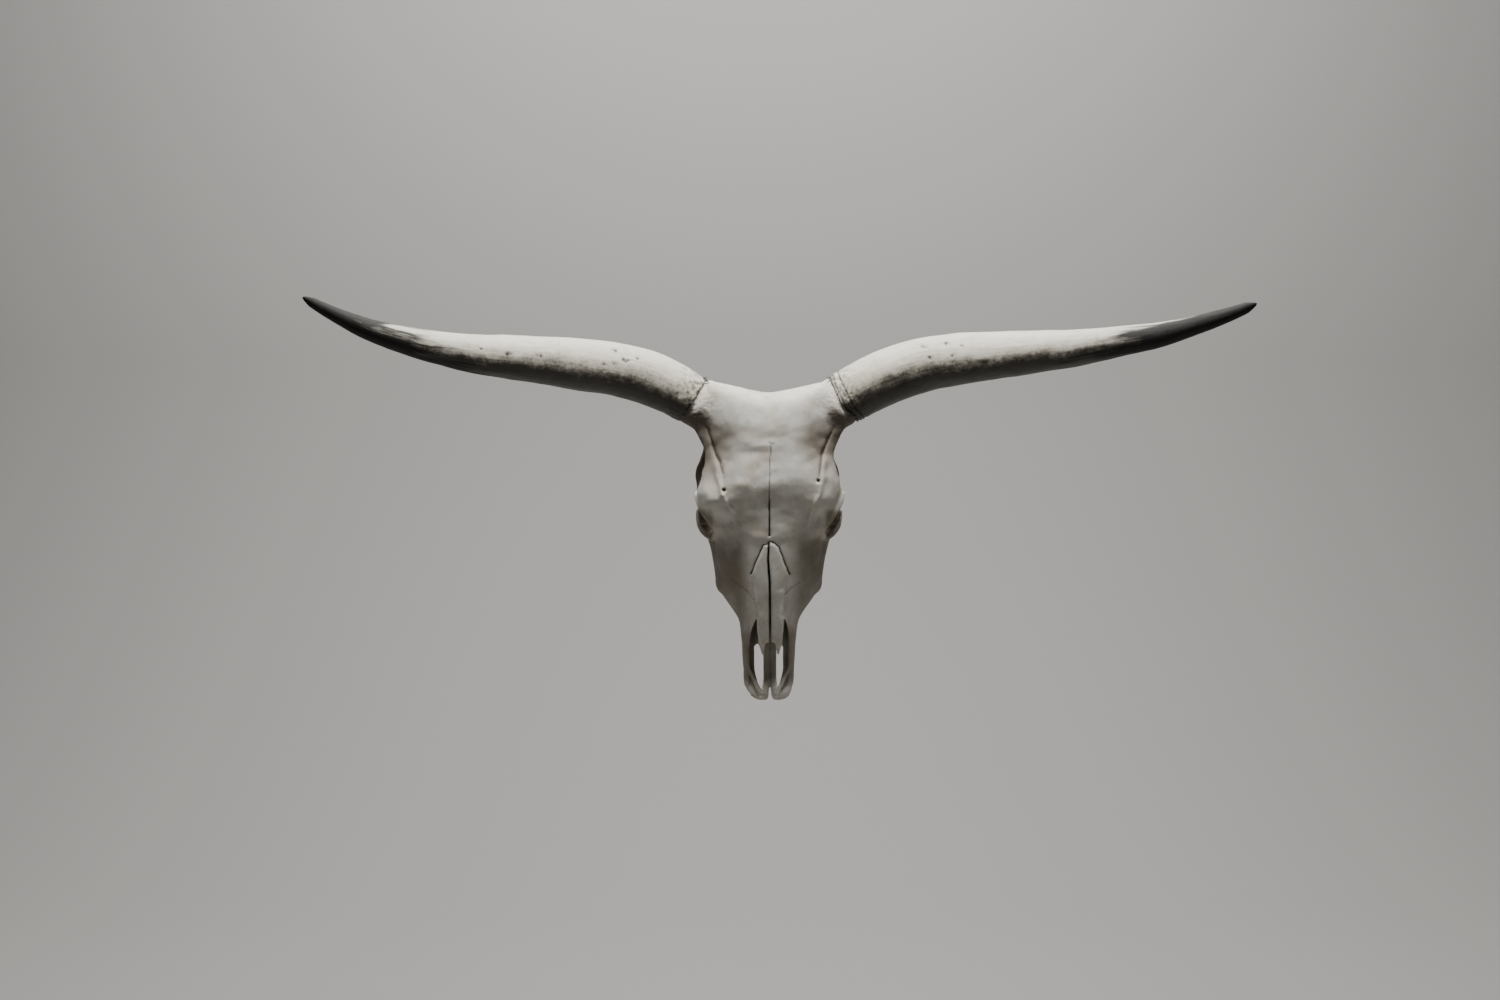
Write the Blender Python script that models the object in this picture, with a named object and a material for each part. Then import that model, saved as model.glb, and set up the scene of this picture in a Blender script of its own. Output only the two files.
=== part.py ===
"""Mounted longhorn skull: bleached bone, two horn sheaths, twelve cheek teeth and a wall hanger.

Metres. X runs to the viewer's right, Z up. The wall is the plane y = 0 and the skull looks
towards -Y. Every place is written as (x, depth, z), where depth is the distance in front of
the wall. The origin is on the back of the hanger.
"""

import math

import bmesh
import bpy
from mathutils import Vector

FIT = 0.0003
MASS_VOXEL = 0.0031
HOLLOW_VOXEL = 0.0027
SLENDER_VOXEL = 0.0023
BONE_VOXEL = 0.0025
MASS_SMOOTHING = 24
BONE_SMOOTHING = 4
BONE_KEPT_SHARE = 0.032
CURVE_STEPS = 3
LOFT_SIDES = 32
BAR_SIDES = 12
BALL_RINGS = 8
ROUND_END = ((0.5, 0.87), (0.87, 0.5), (0.98, 0.15))
SHARP_ANGLE = math.radians(40)
SIDES = (("left", -1.0), ("right", 1.0))
UP = Vector((0.0, 0.0, 1.0))

# Lofts up the skull: z, half width, front depth, depth of the widest line, back depth,
# and how square the front and back halves of the section are (2 is an ellipse).
FRONTAL_ROOF = (
    (0.0385, 0.064, 0.158, 0.146, 0.130, 2.2, 2.2),
    (0.0340, 0.080, 0.168, 0.144, 0.122, 2.2, 2.3),
    (0.0250, 0.090, 0.176, 0.142, 0.118, 2.4, 2.3),
    (0.0095, 0.096, 0.179, 0.138, 0.118, 2.3, 2.3),
    (-0.0050, 0.0925, 0.180, 0.137, 0.120, 2.4, 2.3),
    (-0.0200, 0.0875, 0.180, 0.138, 0.122, 2.6, 2.3),
    (-0.0350, 0.0865, 0.178, 0.138, 0.124, 2.6, 2.3),
    (-0.0560, 0.0900, 0.173, 0.138, 0.124, 2.6, 2.2),
    (-0.0750, 0.0955, 0.1655, 0.136, 0.122, 2.6, 2.2),
    (-0.0920, 0.0940, 0.156, 0.132, 0.118, 2.6, 2.2),
    (-0.1130, 0.0840, 0.148, 0.122, 0.104, 2.4, 2.0),
    (-0.1300, 0.0680, 0.137, 0.110, 0.090, 2.2, 2.0),
)
POLL_RISE = 4.2
POLL_RISE_TOP = 0.026
POLL_RISE_END = -0.020
BRAINCASE = (
    (0.034, 0.052, 0.150, 0.100, 0.062, 2.2, 2.2),
    (0.010, 0.058, 0.150, 0.100, 0.050, 2.2, 2.2),
    (-0.020, 0.056, 0.150, 0.100, 0.050, 2.2, 2.2),
    (-0.050, 0.046, 0.150, 0.100, 0.055, 2.2, 2.2),
    (-0.080, 0.036, 0.150, 0.100, 0.060, 2.2, 2.2),
    (-0.105, 0.034, 0.145, 0.100, 0.060, 2.2, 2.2),
)
OCCIPUT = (
    (0.040, 0.072, 0.160, 0.118, 0.092, 2.6, 2.4),
    (0.032, 0.083, 0.158, 0.096, 0.056, 2.6, 2.6),
    (0.016, 0.082, 0.152, 0.092, 0.052, 2.6, 2.6),
    (-0.004, 0.062, 0.140, 0.092, 0.056, 2.4, 2.4),
)
FACE = (
    (-0.096, 0.050, 0.142, 0.100, 0.060, 2.2, 2.2),
    (-0.122, 0.071, 0.1465, 0.098, 0.046, 2.5, 2.4),
    (-0.150, 0.0735, 0.141, 0.088, 0.038, 2.15, 2.6),
    (-0.180, 0.0715, 0.133, 0.075, 0.034, 1.9, 2.6),
    (-0.205, 0.069, 0.126, 0.067, 0.032, 1.7, 2.6),
    (-0.222, 0.060, 0.121, 0.065, 0.032, 1.7, 2.4),
    (-0.236, 0.050, 0.1165, 0.066, 0.034, 1.7, 2.2),
    (-0.246, 0.043, 0.113, 0.067, 0.040, 1.7, 2.0),
)
NASAL_CAVITY = (
    (-0.128, 0.020, 0.122, 0.085, 0.056, 2.0, 2.0),
    (-0.150, 0.034, 0.130, 0.085, 0.050, 2.0, 2.2),
    (-0.190, 0.040, 0.122, 0.078, 0.046, 1.8, 2.2),
    (-0.222, 0.037, 0.114, 0.070, 0.044, 1.8, 2.2),
    (-0.240, 0.033, 0.110, 0.068, 0.044, 1.8, 2.2),
    (-0.275, 0.032, 0.104, 0.066, 0.045, 1.8, 2.2),
)

# Bars of bone, right side: x, depth, z, half thickness across, half thickness along the lean.
HORN_BOSS = (
    (0.046, 0.136, 0.024, 0.028, 0.028),
    (0.074, 0.130, 0.033, 0.032, 0.032),
    (0.094, 0.126, 0.040, 0.032, 0.032),
    (0.106, 0.1255, 0.047, 0.030, 0.030),
)
BOSS_SKIRT = (
    (0.076, 0.134, -0.022, 0.010, 0.014),
    (0.084, 0.130, 0.000, 0.012, 0.016),
    (0.094, 0.127, 0.016, 0.012, 0.018),
)
BROW_RIDGE = (
    (0.0740, 0.1590, -0.030, 0.005, 0.005),
    (0.0715, 0.1600, -0.056, 0.006, 0.006),
    (0.0620, 0.1545, -0.082, 0.006, 0.006),
    (0.0520, 0.1455, -0.105, 0.006, 0.006),
    (0.0440, 0.1370, -0.130, 0.005, 0.005),
)
ORBIT_CENTRE = (0.0835, 0.114, -0.099)
ORBIT_FACING = (0.96, -0.16, -0.22)
ORBIT_RADIUS = 0.028
ORBIT_RIM = 0.0058
ORBIT_RIM_STEPS = 20
MALAR = (
    (0.086, 0.099, -0.108, 0.0065, 0.011),
    (0.080, 0.092, -0.136, 0.0065, 0.013),
    (0.0735, 0.080, -0.168, 0.007, 0.013),
    (0.067, 0.070, -0.202, 0.0065, 0.010),
)
MALAR_HOOK = (
    (0.0900, 0.100, -0.108, 0.0040, 0.008),
    (0.0870, 0.096, -0.128, 0.0038, 0.008),
    (0.0800, 0.094, -0.142, 0.0034, 0.007),
)
ZYGOMATIC_ARCH = (
    (0.086, 0.100, -0.118, 0.006, 0.010),
    (0.0925, 0.092, -0.092, 0.0045, 0.009),
    (0.0940, 0.088, -0.060, 0.0045, 0.008),
    (0.0910, 0.087, -0.028, 0.0045, 0.007),
    (0.080, 0.084, -0.004, 0.007, 0.007),
    (0.062, 0.082, 0.006, 0.010, 0.008),
)
POSTORBITAL_BAR = (
    (0.0900, 0.130, -0.070, 0.006, 0.006),
    (0.0930, 0.110, -0.074, 0.0045, 0.006),
    (0.0935, 0.092, -0.078, 0.0045, 0.007),
)
TUBEROSITY = (0.0650, 0.067, -0.204)
TUBEROSITY_RADII = (0.0075, 0.010, 0.012)
TOOTH_BED = (
    (0.047, 0.040, -0.112, 0.013, 0.010),
    (0.052, 0.036, -0.140, 0.013, 0.012),
    (0.051, 0.035, -0.180, 0.012, 0.012),
    (0.045, 0.037, -0.220, 0.009, 0.010),
    (0.037, 0.046, -0.252, 0.005, 0.008),
)
PALATE = (
    (0.014, 0.041, -0.122, 0.016, 0.003),
    (0.016, 0.041, -0.180, 0.018, 0.003),
    (0.015, 0.043, -0.240, 0.018, 0.003),
    (0.012, 0.047, -0.282, 0.013, 0.003),
)
PREMAXILLA_LEAN = (-0.42, 0.90, 0.0)
PREMAXILLA_BAR = (
    (0.0340, 0.080, -0.226, 0.0050, 0.026),
    (0.0315, 0.080, -0.246, 0.0045, 0.023),
    (0.0300, 0.075, -0.270, 0.0042, 0.017),
    (0.0295, 0.068, -0.298, 0.0045, 0.011),
    (0.0290, 0.062, -0.325, 0.0048, 0.008),
    (0.0282, 0.060, -0.343, 0.0058, 0.006),
)
PREMAXILLA_LEDGE = (
    (0.0330, 0.054, -0.236, 0.0060, 0.008),
    (0.0275, 0.056, -0.266, 0.0056, 0.0045),
    (0.0245, 0.056, -0.296, 0.0050, 0.003),
    (0.0245, 0.057, -0.325, 0.0040, 0.003),
)
PREMAXILLA_TIP = (
    (0.0275, 0.060, -0.340, 0.0056, 0.006),
    (0.0205, 0.060, -0.3515, 0.0068, 0.006),
    (0.0112, 0.061, -0.3575, 0.0070, 0.006),
)
PALATINE_PROCESS = (
    (0.0060, 0.050, -0.270, 0.0042, 0.004),
    (0.0060, 0.054, -0.310, 0.0042, 0.004),
    (0.0066, 0.059, -0.338, 0.0048, 0.005),
    (0.0085, 0.061, -0.356, 0.0062, 0.006),
)
NASAL_BONE = (
    (0.0100, 0.1170, -0.212, 0.0090, 0.0028),
    (0.0098, 0.1110, -0.244, 0.0096, 0.0028),
    (0.0088, 0.1035, -0.268, 0.0082, 0.0026),
    (0.0095, 0.0980, -0.285, 0.0060, 0.0025),
    (0.0112, 0.0948, -0.294, 0.0034, 0.0024),
)
CONDYLE = (0.0235, 0.046, 0.024)
CONDYLE_RADII = (0.017, 0.019, 0.021)
JUGULAR_PROCESS = (
    (0.060, 0.074, 0.012, 0.012, 0.010),
    (0.055, 0.044, 0.012, 0.010, 0.007),
    (0.050, 0.018, 0.010, 0.006, 0.005),
)
SKULL_BASE = (
    (0.000, 0.050, 0.020, 0.020, 0.008),
    (0.000, 0.052, -0.010, 0.020, 0.009),
    (0.000, 0.054, -0.045, 0.017, 0.010),
    (0.000, 0.061, -0.085, 0.011, 0.009),
    (0.000, 0.066, -0.120, 0.006, 0.014),
)
BULLA = (0.034, 0.050, -0.016)
BULLA_RADII = (0.011, 0.016, 0.015)
PTERYGOID_PLATE = (
    (0.019, 0.056, -0.055, 0.004, 0.012),
    (0.020, 0.046, -0.085, 0.003, 0.015),
    (0.022, 0.044, -0.116, 0.004, 0.014),
)

# Hollows, right side: centre and radii as (x, depth, z).
EYE_HOLLOW = ((0.088, 0.112, -0.100), (0.042, 0.0215, 0.0235))
FOSSA_HOLLOW = ((0.074, 0.088, -0.062), (0.020, 0.038, 0.046))
FORAMEN_MAGNUM = (
    (0.000, 0.066, 0.070, 0.017, 0.016),
    (0.000, 0.070, 0.030, 0.017, 0.016),
    (0.000, 0.084, 0.005, 0.024, 0.020),
    (0.000, 0.094, -0.035, 0.022, 0.020),
)
CHOANA = (
    (0.000, 0.036, -0.098, 0.014, 0.014),
    (0.000, 0.060, -0.112, 0.013, 0.014),
    (0.000, 0.080, -0.150, 0.012, 0.014),
)
BROW_GROOVE = (
    (0.084, 0.158, 0.002, 0.0022, 0.0030),
    (0.074, 0.170, -0.025, 0.0022, 0.0030),
    (0.0660, 0.1715, -0.045, 0.0024, 0.0030),
    (0.0620, 0.1690, -0.060, 0.0026, 0.0035),
    (0.0610, 0.1630, -0.073, 0.0030, 0.0050),
)
SLIT_HALF = 0.0011
SLITS = (("frontal_slit", -0.098, -0.137), ("nasal_slit", -0.148, -0.300))
SLIT_FRONT = 0.170
SLIT_BACK = 0.090

# Horns: x, depth, z and outer radius down the centre line, from the rim to the tip.
HORN_LINES = {
    "left": (
        (-0.1035, 0.125, 0.0425, 0.0330),
        (-0.1300, 0.132, 0.0575, 0.0350),
        (-0.1635, 0.142, 0.0712, 0.0355),
        (-0.2040, 0.157, 0.0806, 0.0346),
        (-0.2430, 0.176, 0.0845, 0.0333),
        (-0.2820, 0.198, 0.0875, 0.0311),
        (-0.3290, 0.227, 0.0903, 0.0279),
        (-0.3750, 0.256, 0.0928, 0.0238),
        (-0.4260, 0.286, 0.0998, 0.0187),
        (-0.4680, 0.310, 0.1100, 0.0149),
        (-0.5000, 0.326, 0.1215, 0.0109),
        (-0.5320, 0.340, 0.1375, 0.0066),
        (-0.5570, 0.351, 0.1525, 0.0030),
    ),
    "right": (
        (0.0985, 0.1235, 0.0428, 0.0352),
        (0.1250, 0.130, 0.0580, 0.0362),
        (0.1580, 0.140, 0.0732, 0.0362),
        (0.2000, 0.155, 0.0855, 0.0350),
        (0.2400, 0.175, 0.0912, 0.0335),
        (0.2850, 0.200, 0.0940, 0.0306),
        (0.3290, 0.227, 0.0958, 0.0272),
        (0.3800, 0.259, 0.0985, 0.0228),
        (0.4290, 0.289, 0.1040, 0.0185),
        (0.4720, 0.311, 0.1101, 0.0152),
        (0.5080, 0.329, 0.1190, 0.0118),
        (0.5460, 0.346, 0.1313, 0.0078),
        (0.5750, 0.358, 0.1440, 0.0032),
    ),
}
HORN_SIDES = 16
HORN_STEPS = 2
TANGENT_REACH = 0.004
CORE_DEPTH = 0.135
CORE_ROOT = 0.040
CORE_STEPS = 6
SHEATH_WALL = 0.0052
CORE_TAPER = 0.55
ROOM_MARGIN = 0.010
ROOM_RUNS = (0.012, 0.024, 0.040)
RIM_BANDS = ((0.000, 0.0), (0.006, 0.0012), (0.013, 0.0), (0.020, 0.0010), (0.028, 0.0))

# Cheek teeth, front to back: name, z, length along the row, width across it.
CHEEK_TEETH = (
    ("premolar_1", -0.2300, 0.0150, 0.0120),
    ("premolar_2", -0.2130, 0.0165, 0.0145),
    ("premolar_3", -0.1955, 0.0165, 0.0160),
    ("molar_1", -0.1755, 0.0210, 0.0180),
    ("molar_2", -0.1520, 0.0235, 0.0190),
    ("molar_3", -0.1270, 0.0235, 0.0180),
)
TOOTH_ROW_Z = (-0.230, -0.175, -0.127)
TOOTH_ROW_X = (0.0435, 0.0500, 0.0510)
TOOTH_SECTIONS = ((0.0330, 0.62), (0.0250, 0.90), (0.0100, 1.00), (0.0075, 0.84), (0.0100, 0.40))
SOCKET_SECTIONS = ((0.0330, 0.62), (0.0250, 0.90), (-0.0200, 1.00))
SOCKET_FIT = 0.0004
TOOTH_SIDES = 10
TOOTH_SQUARENESS = 3.4

# Hanger: a steel strip with a keyhole, stepped off the wall to a foot on the skull's base.
STRIP_WIDTH = 0.028
STRIP_THICKNESS = 0.0025
STRIP_TOP = 0.040
STRIP_STEP = -0.0165
FOOT_FACE = 0.0455
FOOT_END = -0.054
STRIP_BEND = 0.0035
BEND_STEPS = 3
STRIP_CORNER = 0.006
CORNER_STEPS = 4
PAD_MARGIN = 0.0015
KEYHOLE_Z = 0.013
KEYHOLE_RADIUS = 0.0050
KEYHOLE_SLOT_HALF = 0.0024
KEYHOLE_TOP = 0.030
HANGER_SCREWS = (("upper", -0.0290), ("lower", -0.0440))
SCREW_RADIUS = 0.0021
SCREW_HEAD_RADIUS = 0.0042
SCREW_HEAD_HEIGHT = 0.0021
SCREW_LENGTH = 0.0150
SCREW_POINT_RADIUS = 0.0007
SCREW_SLOT_HALF = 0.0005
SCREW_SLOT_DEPTH = 0.0009
ROUND_SIDES = 16


def at(x, depth, z):
    """A point from its distance in front of the wall."""
    return Vector((x, -depth, z))


def smooth_rows(rows, steps):
    """Rows of numbers joined by a Catmull-Rom curve, with steps rows from each to the next."""
    found = []
    last = len(rows) - 1
    for index in range(last):
        before = rows[max(index - 1, 0)]
        start = rows[index]
        end = rows[index + 1]
        after = rows[min(index + 2, last)]
        for step in range(steps):
            t = step / steps
            found.append(tuple(
                0.5 * (2 * b + (c - a) * t + (2 * a - 5 * b + 4 * c - d) * t ** 2
                       + (3 * b - a - 3 * c + d) * t ** 3)
                for a, b, c, d in zip(before, start, end, after)))
    found.append(tuple(rows[last]))
    return found


def skin(bm, rings):
    """Close a row of point rings into one solid: quads between them and a face on each end."""
    made = [[bm.verts.new(point) for point in ring] for ring in rings]
    faces = [bm.faces.new(made[0]), bm.faces.new(made[-1])]
    for first, second in zip(made, made[1:]):
        count = len(first)
        for index in range(count):
            after = (index + 1) % count
            faces.append(bm.faces.new((first[index], first[after], second[after], second[index])))
    bmesh.ops.recalc_face_normals(bm, faces=faces)


def add_loft(bm, stations):
    """A body skinned over rounded sections stacked up Z."""
    rings = []
    for z, half, front, wide, back, front_power, back_power in smooth_rows(stations, CURVE_STEPS):
        ring = []
        for index in range(LOFT_SIDES):
            angle = math.tau * index / LOFT_SIDES
            across, rise = math.cos(angle), math.sin(angle)
            power = front_power if rise > 0 else back_power
            reach = (front - wide) if rise > 0 else (wide - back)
            x = half * math.copysign(abs(across) ** (2 / power), across)
            depth = wide + reach * math.copysign(abs(rise) ** (2 / power), rise)
            ring.append(at(x, depth, z))
        rings.append(ring)
    skin(bm, rings)


def lift_poll(bm):
    """Raise both ends of the poll, which dips between the horns."""
    for vert in bm.verts:
        share = (vert.co.z - POLL_RISE_END) / (POLL_RISE_TOP - POLL_RISE_END)
        vert.co.z += POLL_RISE * vert.co.x ** 2 * min(max(share, 0.0), 1.0)


def section(centre, first, second, half_first, half_second, sides):
    """An ellipse of points round a centre."""
    return [centre + first * (half_first * math.cos(math.tau * index / sides))
            + second * (half_second * math.sin(math.tau * index / sides)) for index in range(sides)]


def add_bar(bm, rows, side=1.0, lean=(0.0, 1.0, 0.0)):
    """A bar with round ends along (x, depth, z, half across, half along lean) rows."""
    lean = at(side * lean[0], lean[1], lean[2])
    rows = smooth_rows(rows, CURVE_STEPS)
    centres = [at(side * row[0], row[1], row[2]) for row in rows]
    rings = []
    for index, centre in enumerate(centres):
        tangent = (centres[min(index + 1, len(rows) - 1)] - centres[max(index - 1, 0)]).normalized()
        second = (lean - tangent * lean.dot(tangent)).normalized()
        first = tangent.cross(second)
        across, deep = rows[index][3], rows[index][4]
        ring = section(centre, first, second, across, deep, BAR_SIDES)
        if index in (0, len(rows) - 1):
            outward = -tangent if index == 0 else tangent
            reach = min(across, deep)
            ends = [section(centre + outward * (reach * rise), first, second,
                            across * inset, deep * inset, BAR_SIDES)
                    for rise, inset in ROUND_END]
            rings += ends[::-1] + [ring] if index == 0 else [ring] + ends
        else:
            rings.append(ring)
    skin(bm, rings)


def add_ball(bm, centre, radii, side=1.0):
    """An ellipsoid of (x, depth, z) radii."""
    x, depth, z = centre
    made = bmesh.ops.create_uvsphere(
        bm, u_segments=2 * BALL_RINGS, v_segments=BALL_RINGS, radius=1.0)
    for vert in made["verts"]:
        vert.co = at(side * x, depth, z) + Vector(
            (vert.co.x * radii[0], vert.co.y * radii[1], vert.co.z * radii[2]))


def add_orbit_rim(bm, side):
    """The raised bony ring round one eye socket."""
    facing = at(side * ORBIT_FACING[0], ORBIT_FACING[1], ORBIT_FACING[2]).normalized()
    first = (UP - facing * UP.dot(facing)).normalized()
    second = facing.cross(first)
    centre = at(side * ORBIT_CENTRE[0], ORBIT_CENTRE[1], ORBIT_CENTRE[2])
    made = []
    for index in range(ORBIT_RIM_STEPS):
        angle = math.tau * index / ORBIT_RIM_STEPS
        outward = first * math.cos(angle) + second * math.sin(angle)
        ring = section(centre + outward * ORBIT_RADIUS, outward, facing, ORBIT_RIM, ORBIT_RIM, BAR_SIDES)
        made.append([bm.verts.new(point) for point in ring])
    faces = []
    for index, ring in enumerate(made):
        after = made[(index + 1) % ORBIT_RIM_STEPS]
        for step in range(BAR_SIDES):
            nxt = (step + 1) % BAR_SIDES
            faces.append(bm.faces.new((ring[step], ring[nxt], after[nxt], after[step])))
    bmesh.ops.recalc_face_normals(bm, faces=faces)


def make_object(name, bm, material=None, smooth=True):
    """Turn a bmesh into a linked object."""
    mesh = bpy.data.meshes.new(name)
    bm.to_mesh(mesh)
    bm.free()
    if smooth:
        mesh.shade_smooth()
        mesh.set_sharp_from_angle(angle=SHARP_ANGLE)
    if material:
        mesh.materials.append(material)
    thing = bpy.data.objects.new(name, mesh)
    bpy.context.scene.collection.objects.link(thing)
    return thing


def as_tool(thing):
    """Keep an object as a cutter or filler for Booleans, out of the model itself."""
    thing.hide_render = True
    thing.display_type = "WIRE"
    return thing


def add_boolean(thing, tool, operation="DIFFERENCE", solver="EXACT"):
    """A live Boolean."""
    modifier = thing.modifiers.new(f"{operation.lower()}_{tool.name}", "BOOLEAN")
    modifier.operation = operation
    modifier.solver = solver
    modifier.object = tool


def add_remesh(thing, voxel):
    """A live voxel remesh, which fuses overlapping shapes into one skin."""
    modifier = thing.modifiers.new("fuse", "REMESH")
    modifier.mode = "VOXEL"
    modifier.voxel_size = voxel


def add_smoothing(thing, rounds):
    """A live smoothing of every vertex towards its neighbours."""
    modifier = thing.modifiers.new("weathering", "SMOOTH")
    modifier.factor = 0.5
    modifier.iterations = rounds


def make_material(name, colour, roughness, metallic=0.0):
    """A plain Principled finish."""
    material = bpy.data.materials.new(name)
    material.use_nodes = True
    shader = material.node_tree.nodes["Principled BSDF"]
    shader.inputs["Base Color"].default_value = (*colour, 1.0)
    shader.inputs["Roughness"].default_value = roughness
    shader.inputs["Metallic"].default_value = metallic
    return material


def horn_line(name):
    """Centre points, radii and running length of one horn."""
    rows = smooth_rows(HORN_LINES[name], HORN_STEPS)
    points = [at(*row[:3]) for row in rows]
    runs = [0.0]
    for first, second in zip(points, points[1:]):
        runs.append(runs[-1] + (second - first).length)
    return points, [row[3] for row in rows], runs


def along(values, runs, run):
    """The value at a running length."""
    for index in range(1, len(runs)):
        if run <= runs[index]:
            share = (run - runs[index - 1]) / (runs[index] - runs[index - 1])
            return values[index - 1] + (values[index] - values[index - 1]) * share
    return values[-1]


def horn_ring(name, run, radius):
    """A round of points across one horn at a running length, which may be behind its rim."""
    points, _, runs = horn_line(name)
    inside = max(run, 0.0)
    behind = along(points, runs, max(inside - TANGENT_REACH, 0.0))
    tangent = (along(points, runs, inside + TANGENT_REACH) - behind).normalized()
    centre = along(points, runs, inside) + tangent * min(run, 0.0)
    first = (UP - tangent * UP.dot(tangent)).normalized()
    return section(centre, first, tangent.cross(first), radius, radius, HORN_SIDES)


def band_rise(run):
    """How far the rim's growth bands stand up at a running length."""
    runs = [row[0] for row in RIM_BANDS]
    return 0.0 if run > runs[-1] else along([row[1] for row in RIM_BANDS], runs, run)


def outer_rings(name):
    """The sheath's outside, rim first."""
    _, radii, runs = horn_line(name)
    bands = [row[0] for row in RIM_BANDS]
    steps = bands + [run for run in runs if run > bands[-1] + TANGENT_REACH]
    return [horn_ring(name, run, along(radii, runs, run) + band_rise(run)) for run in steps]


def pocket_radius(name, run):
    """Radius of the blind pocket that the bony core fills."""
    _, radii, runs = horn_line(name)
    share = max(run, 0.0) / CORE_DEPTH
    return (along(radii, runs, max(run, 0.0)) - SHEATH_WALL) * (1.0 - CORE_TAPER * share ** 2.0)


def make_sheath(name, material):
    """One horn sheath, hollow at its root."""
    bm = bmesh.new()
    steps = [CORE_DEPTH * step / CORE_STEPS for step in range(CORE_STEPS, -1, -1)]
    pocket = [horn_ring(name, run, pocket_radius(name, run)) for run in steps]
    skin(bm, pocket + outer_rings(name))
    return make_object(f"horn_sheath_{name}", bm, material)


def make_core(name):
    """The solid bone inside one sheath, a fit smaller than its pocket."""
    bm = bmesh.new()
    reach = CORE_DEPTH - FIT
    rings = [horn_ring(name, -CORE_ROOT, pocket_radius(name, 0.0) - 2 * FIT)]
    for step in range(CORE_STEPS + 1):
        run = reach * step / CORE_STEPS
        rings.append(horn_ring(name, run, pocket_radius(name, run) - 2 * FIT))
    skin(bm, rings)
    return as_tool(make_object(f"core_{name}", bm))


def make_sheath_room(name):
    """The space that the bone leaves free round one sheath's root."""
    bm = bmesh.new()
    _, radii, _ = horn_line(name)
    rings = [horn_ring(name, -2 * FIT, radii[0] + ROOM_MARGIN)]
    rings += [horn_ring(name, run, radii[0] + ROOM_MARGIN) for run in ROOM_RUNS]
    skin(bm, rings)
    return as_tool(make_object(f"sheath_room_{name}", bm))


def make_bone_mass(material):
    """The skull's solid masses, before its hollows are cut."""
    bm = bmesh.new()
    add_loft(bm, FRONTAL_ROOF)
    lift_poll(bm)
    for stations in (BRAINCASE, OCCIPUT, FACE):
        add_loft(bm, stations)
    for _, side in SIDES:
        for rows in (HORN_BOSS, BOSS_SKIRT, TOOTH_BED):
            add_bar(bm, rows, side)
    skull = make_object("skull", bm, material)
    add_remesh(skull, MASS_VOXEL)
    add_smoothing(skull, MASS_SMOOTHING)
    return skull


def make_hollows():
    """Eye sockets, fossae, the braincase and the nose, cut before the slender bones go on."""
    bm = bmesh.new()
    add_loft(bm, NASAL_CAVITY)
    add_bar(bm, FORAMEN_MAGNUM)
    add_bar(bm, CHOANA, lean=(0.0, 0.0, 1.0))
    for _, side in SIDES:
        add_ball(bm, *EYE_HOLLOW, side)
        add_ball(bm, *FOSSA_HOLLOW, side)
    hollows = as_tool(make_object("hollows", bm))
    add_remesh(hollows, HOLLOW_VOXEL)
    return hollows


def make_slender_bones():
    """Arches, rims, nasal bones, premaxillae and the parts of the skull's base."""
    bm = bmesh.new()
    add_bar(bm, SKULL_BASE)
    for _, side in SIDES:
        add_orbit_rim(bm, side)
        for rows in (BROW_RIDGE, MALAR, MALAR_HOOK, ZYGOMATIC_ARCH, PALATE, PREMAXILLA_LEDGE,
                     PREMAXILLA_TIP, PALATINE_PROCESS, NASAL_BONE, PTERYGOID_PLATE):
            add_bar(bm, rows, side)
        add_bar(bm, PREMAXILLA_BAR, side, lean=PREMAXILLA_LEAN)
        for rows in (POSTORBITAL_BAR, JUGULAR_PROCESS):
            add_bar(bm, rows, side, lean=(0.0, 0.0, 1.0))
        add_ball(bm, TUBEROSITY, TUBEROSITY_RADII, side)
        add_ball(bm, CONDYLE, CONDYLE_RADII, side)
        add_ball(bm, BULLA, BULLA_RADII, side)
    slender = as_tool(make_object("slender_bones", bm))
    add_remesh(slender, SLENDER_VOXEL)
    return slender


def make_grooves():
    """The cutter for the two grooves that run down the forehead to the foramina over the eyes."""
    bm = bmesh.new()
    for _, side in SIDES:
        add_bar(bm, BROW_GROOVE, side)
    return as_tool(make_object("brow_grooves", bm))


def make_box_tool(name, low, high):
    """A box cutter between two corners given as (x, depth, z)."""
    bm = bmesh.new()
    first, second = at(*low), at(*high)
    bmesh.ops.create_cube(bm, size=1.0)
    for vert in bm.verts:
        for axis in range(3):
            ends = sorted((first[axis], second[axis]))
            vert.co[axis] = ends[0] if vert.co[axis] < 0 else ends[1]
    return as_tool(make_object(name, bm, smooth=False))


def add_tooth(bm, side, row, sections, grow=0.0):
    """One cheek tooth, or its socket, from its root in the jaw outwards."""
    _, z, length, width = row
    x = side * along(TOOTH_ROW_X, TOOTH_ROW_Z, z)
    rings = []
    for depth, share in sections:
        ring = []
        if depth == sections[0][0]:
            depth += grow
        for step in range(TOOTH_SIDES):
            angle = math.tau * (step + 0.5) / TOOTH_SIDES
            across, up = math.cos(angle), math.sin(angle)
            across = math.copysign(abs(across) ** (2 / TOOTH_SQUARENESS), across)
            up = math.copysign(abs(up) ** (2 / TOOTH_SQUARENESS), up)
            across *= width / 2 * share + grow
            up *= length / 2 * share + grow
            ring.append(at(x + across, depth, z + up))
        rings.append(ring)
    skin(bm, rings)


def make_teeth(material):
    """The twelve cheek teeth."""
    for side_name, side in SIDES:
        for row in CHEEK_TEETH:
            bm = bmesh.new()
            add_tooth(bm, side, row, TOOTH_SECTIONS)
            make_object(f"{row[0]}_{side_name}", bm, material)


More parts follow.
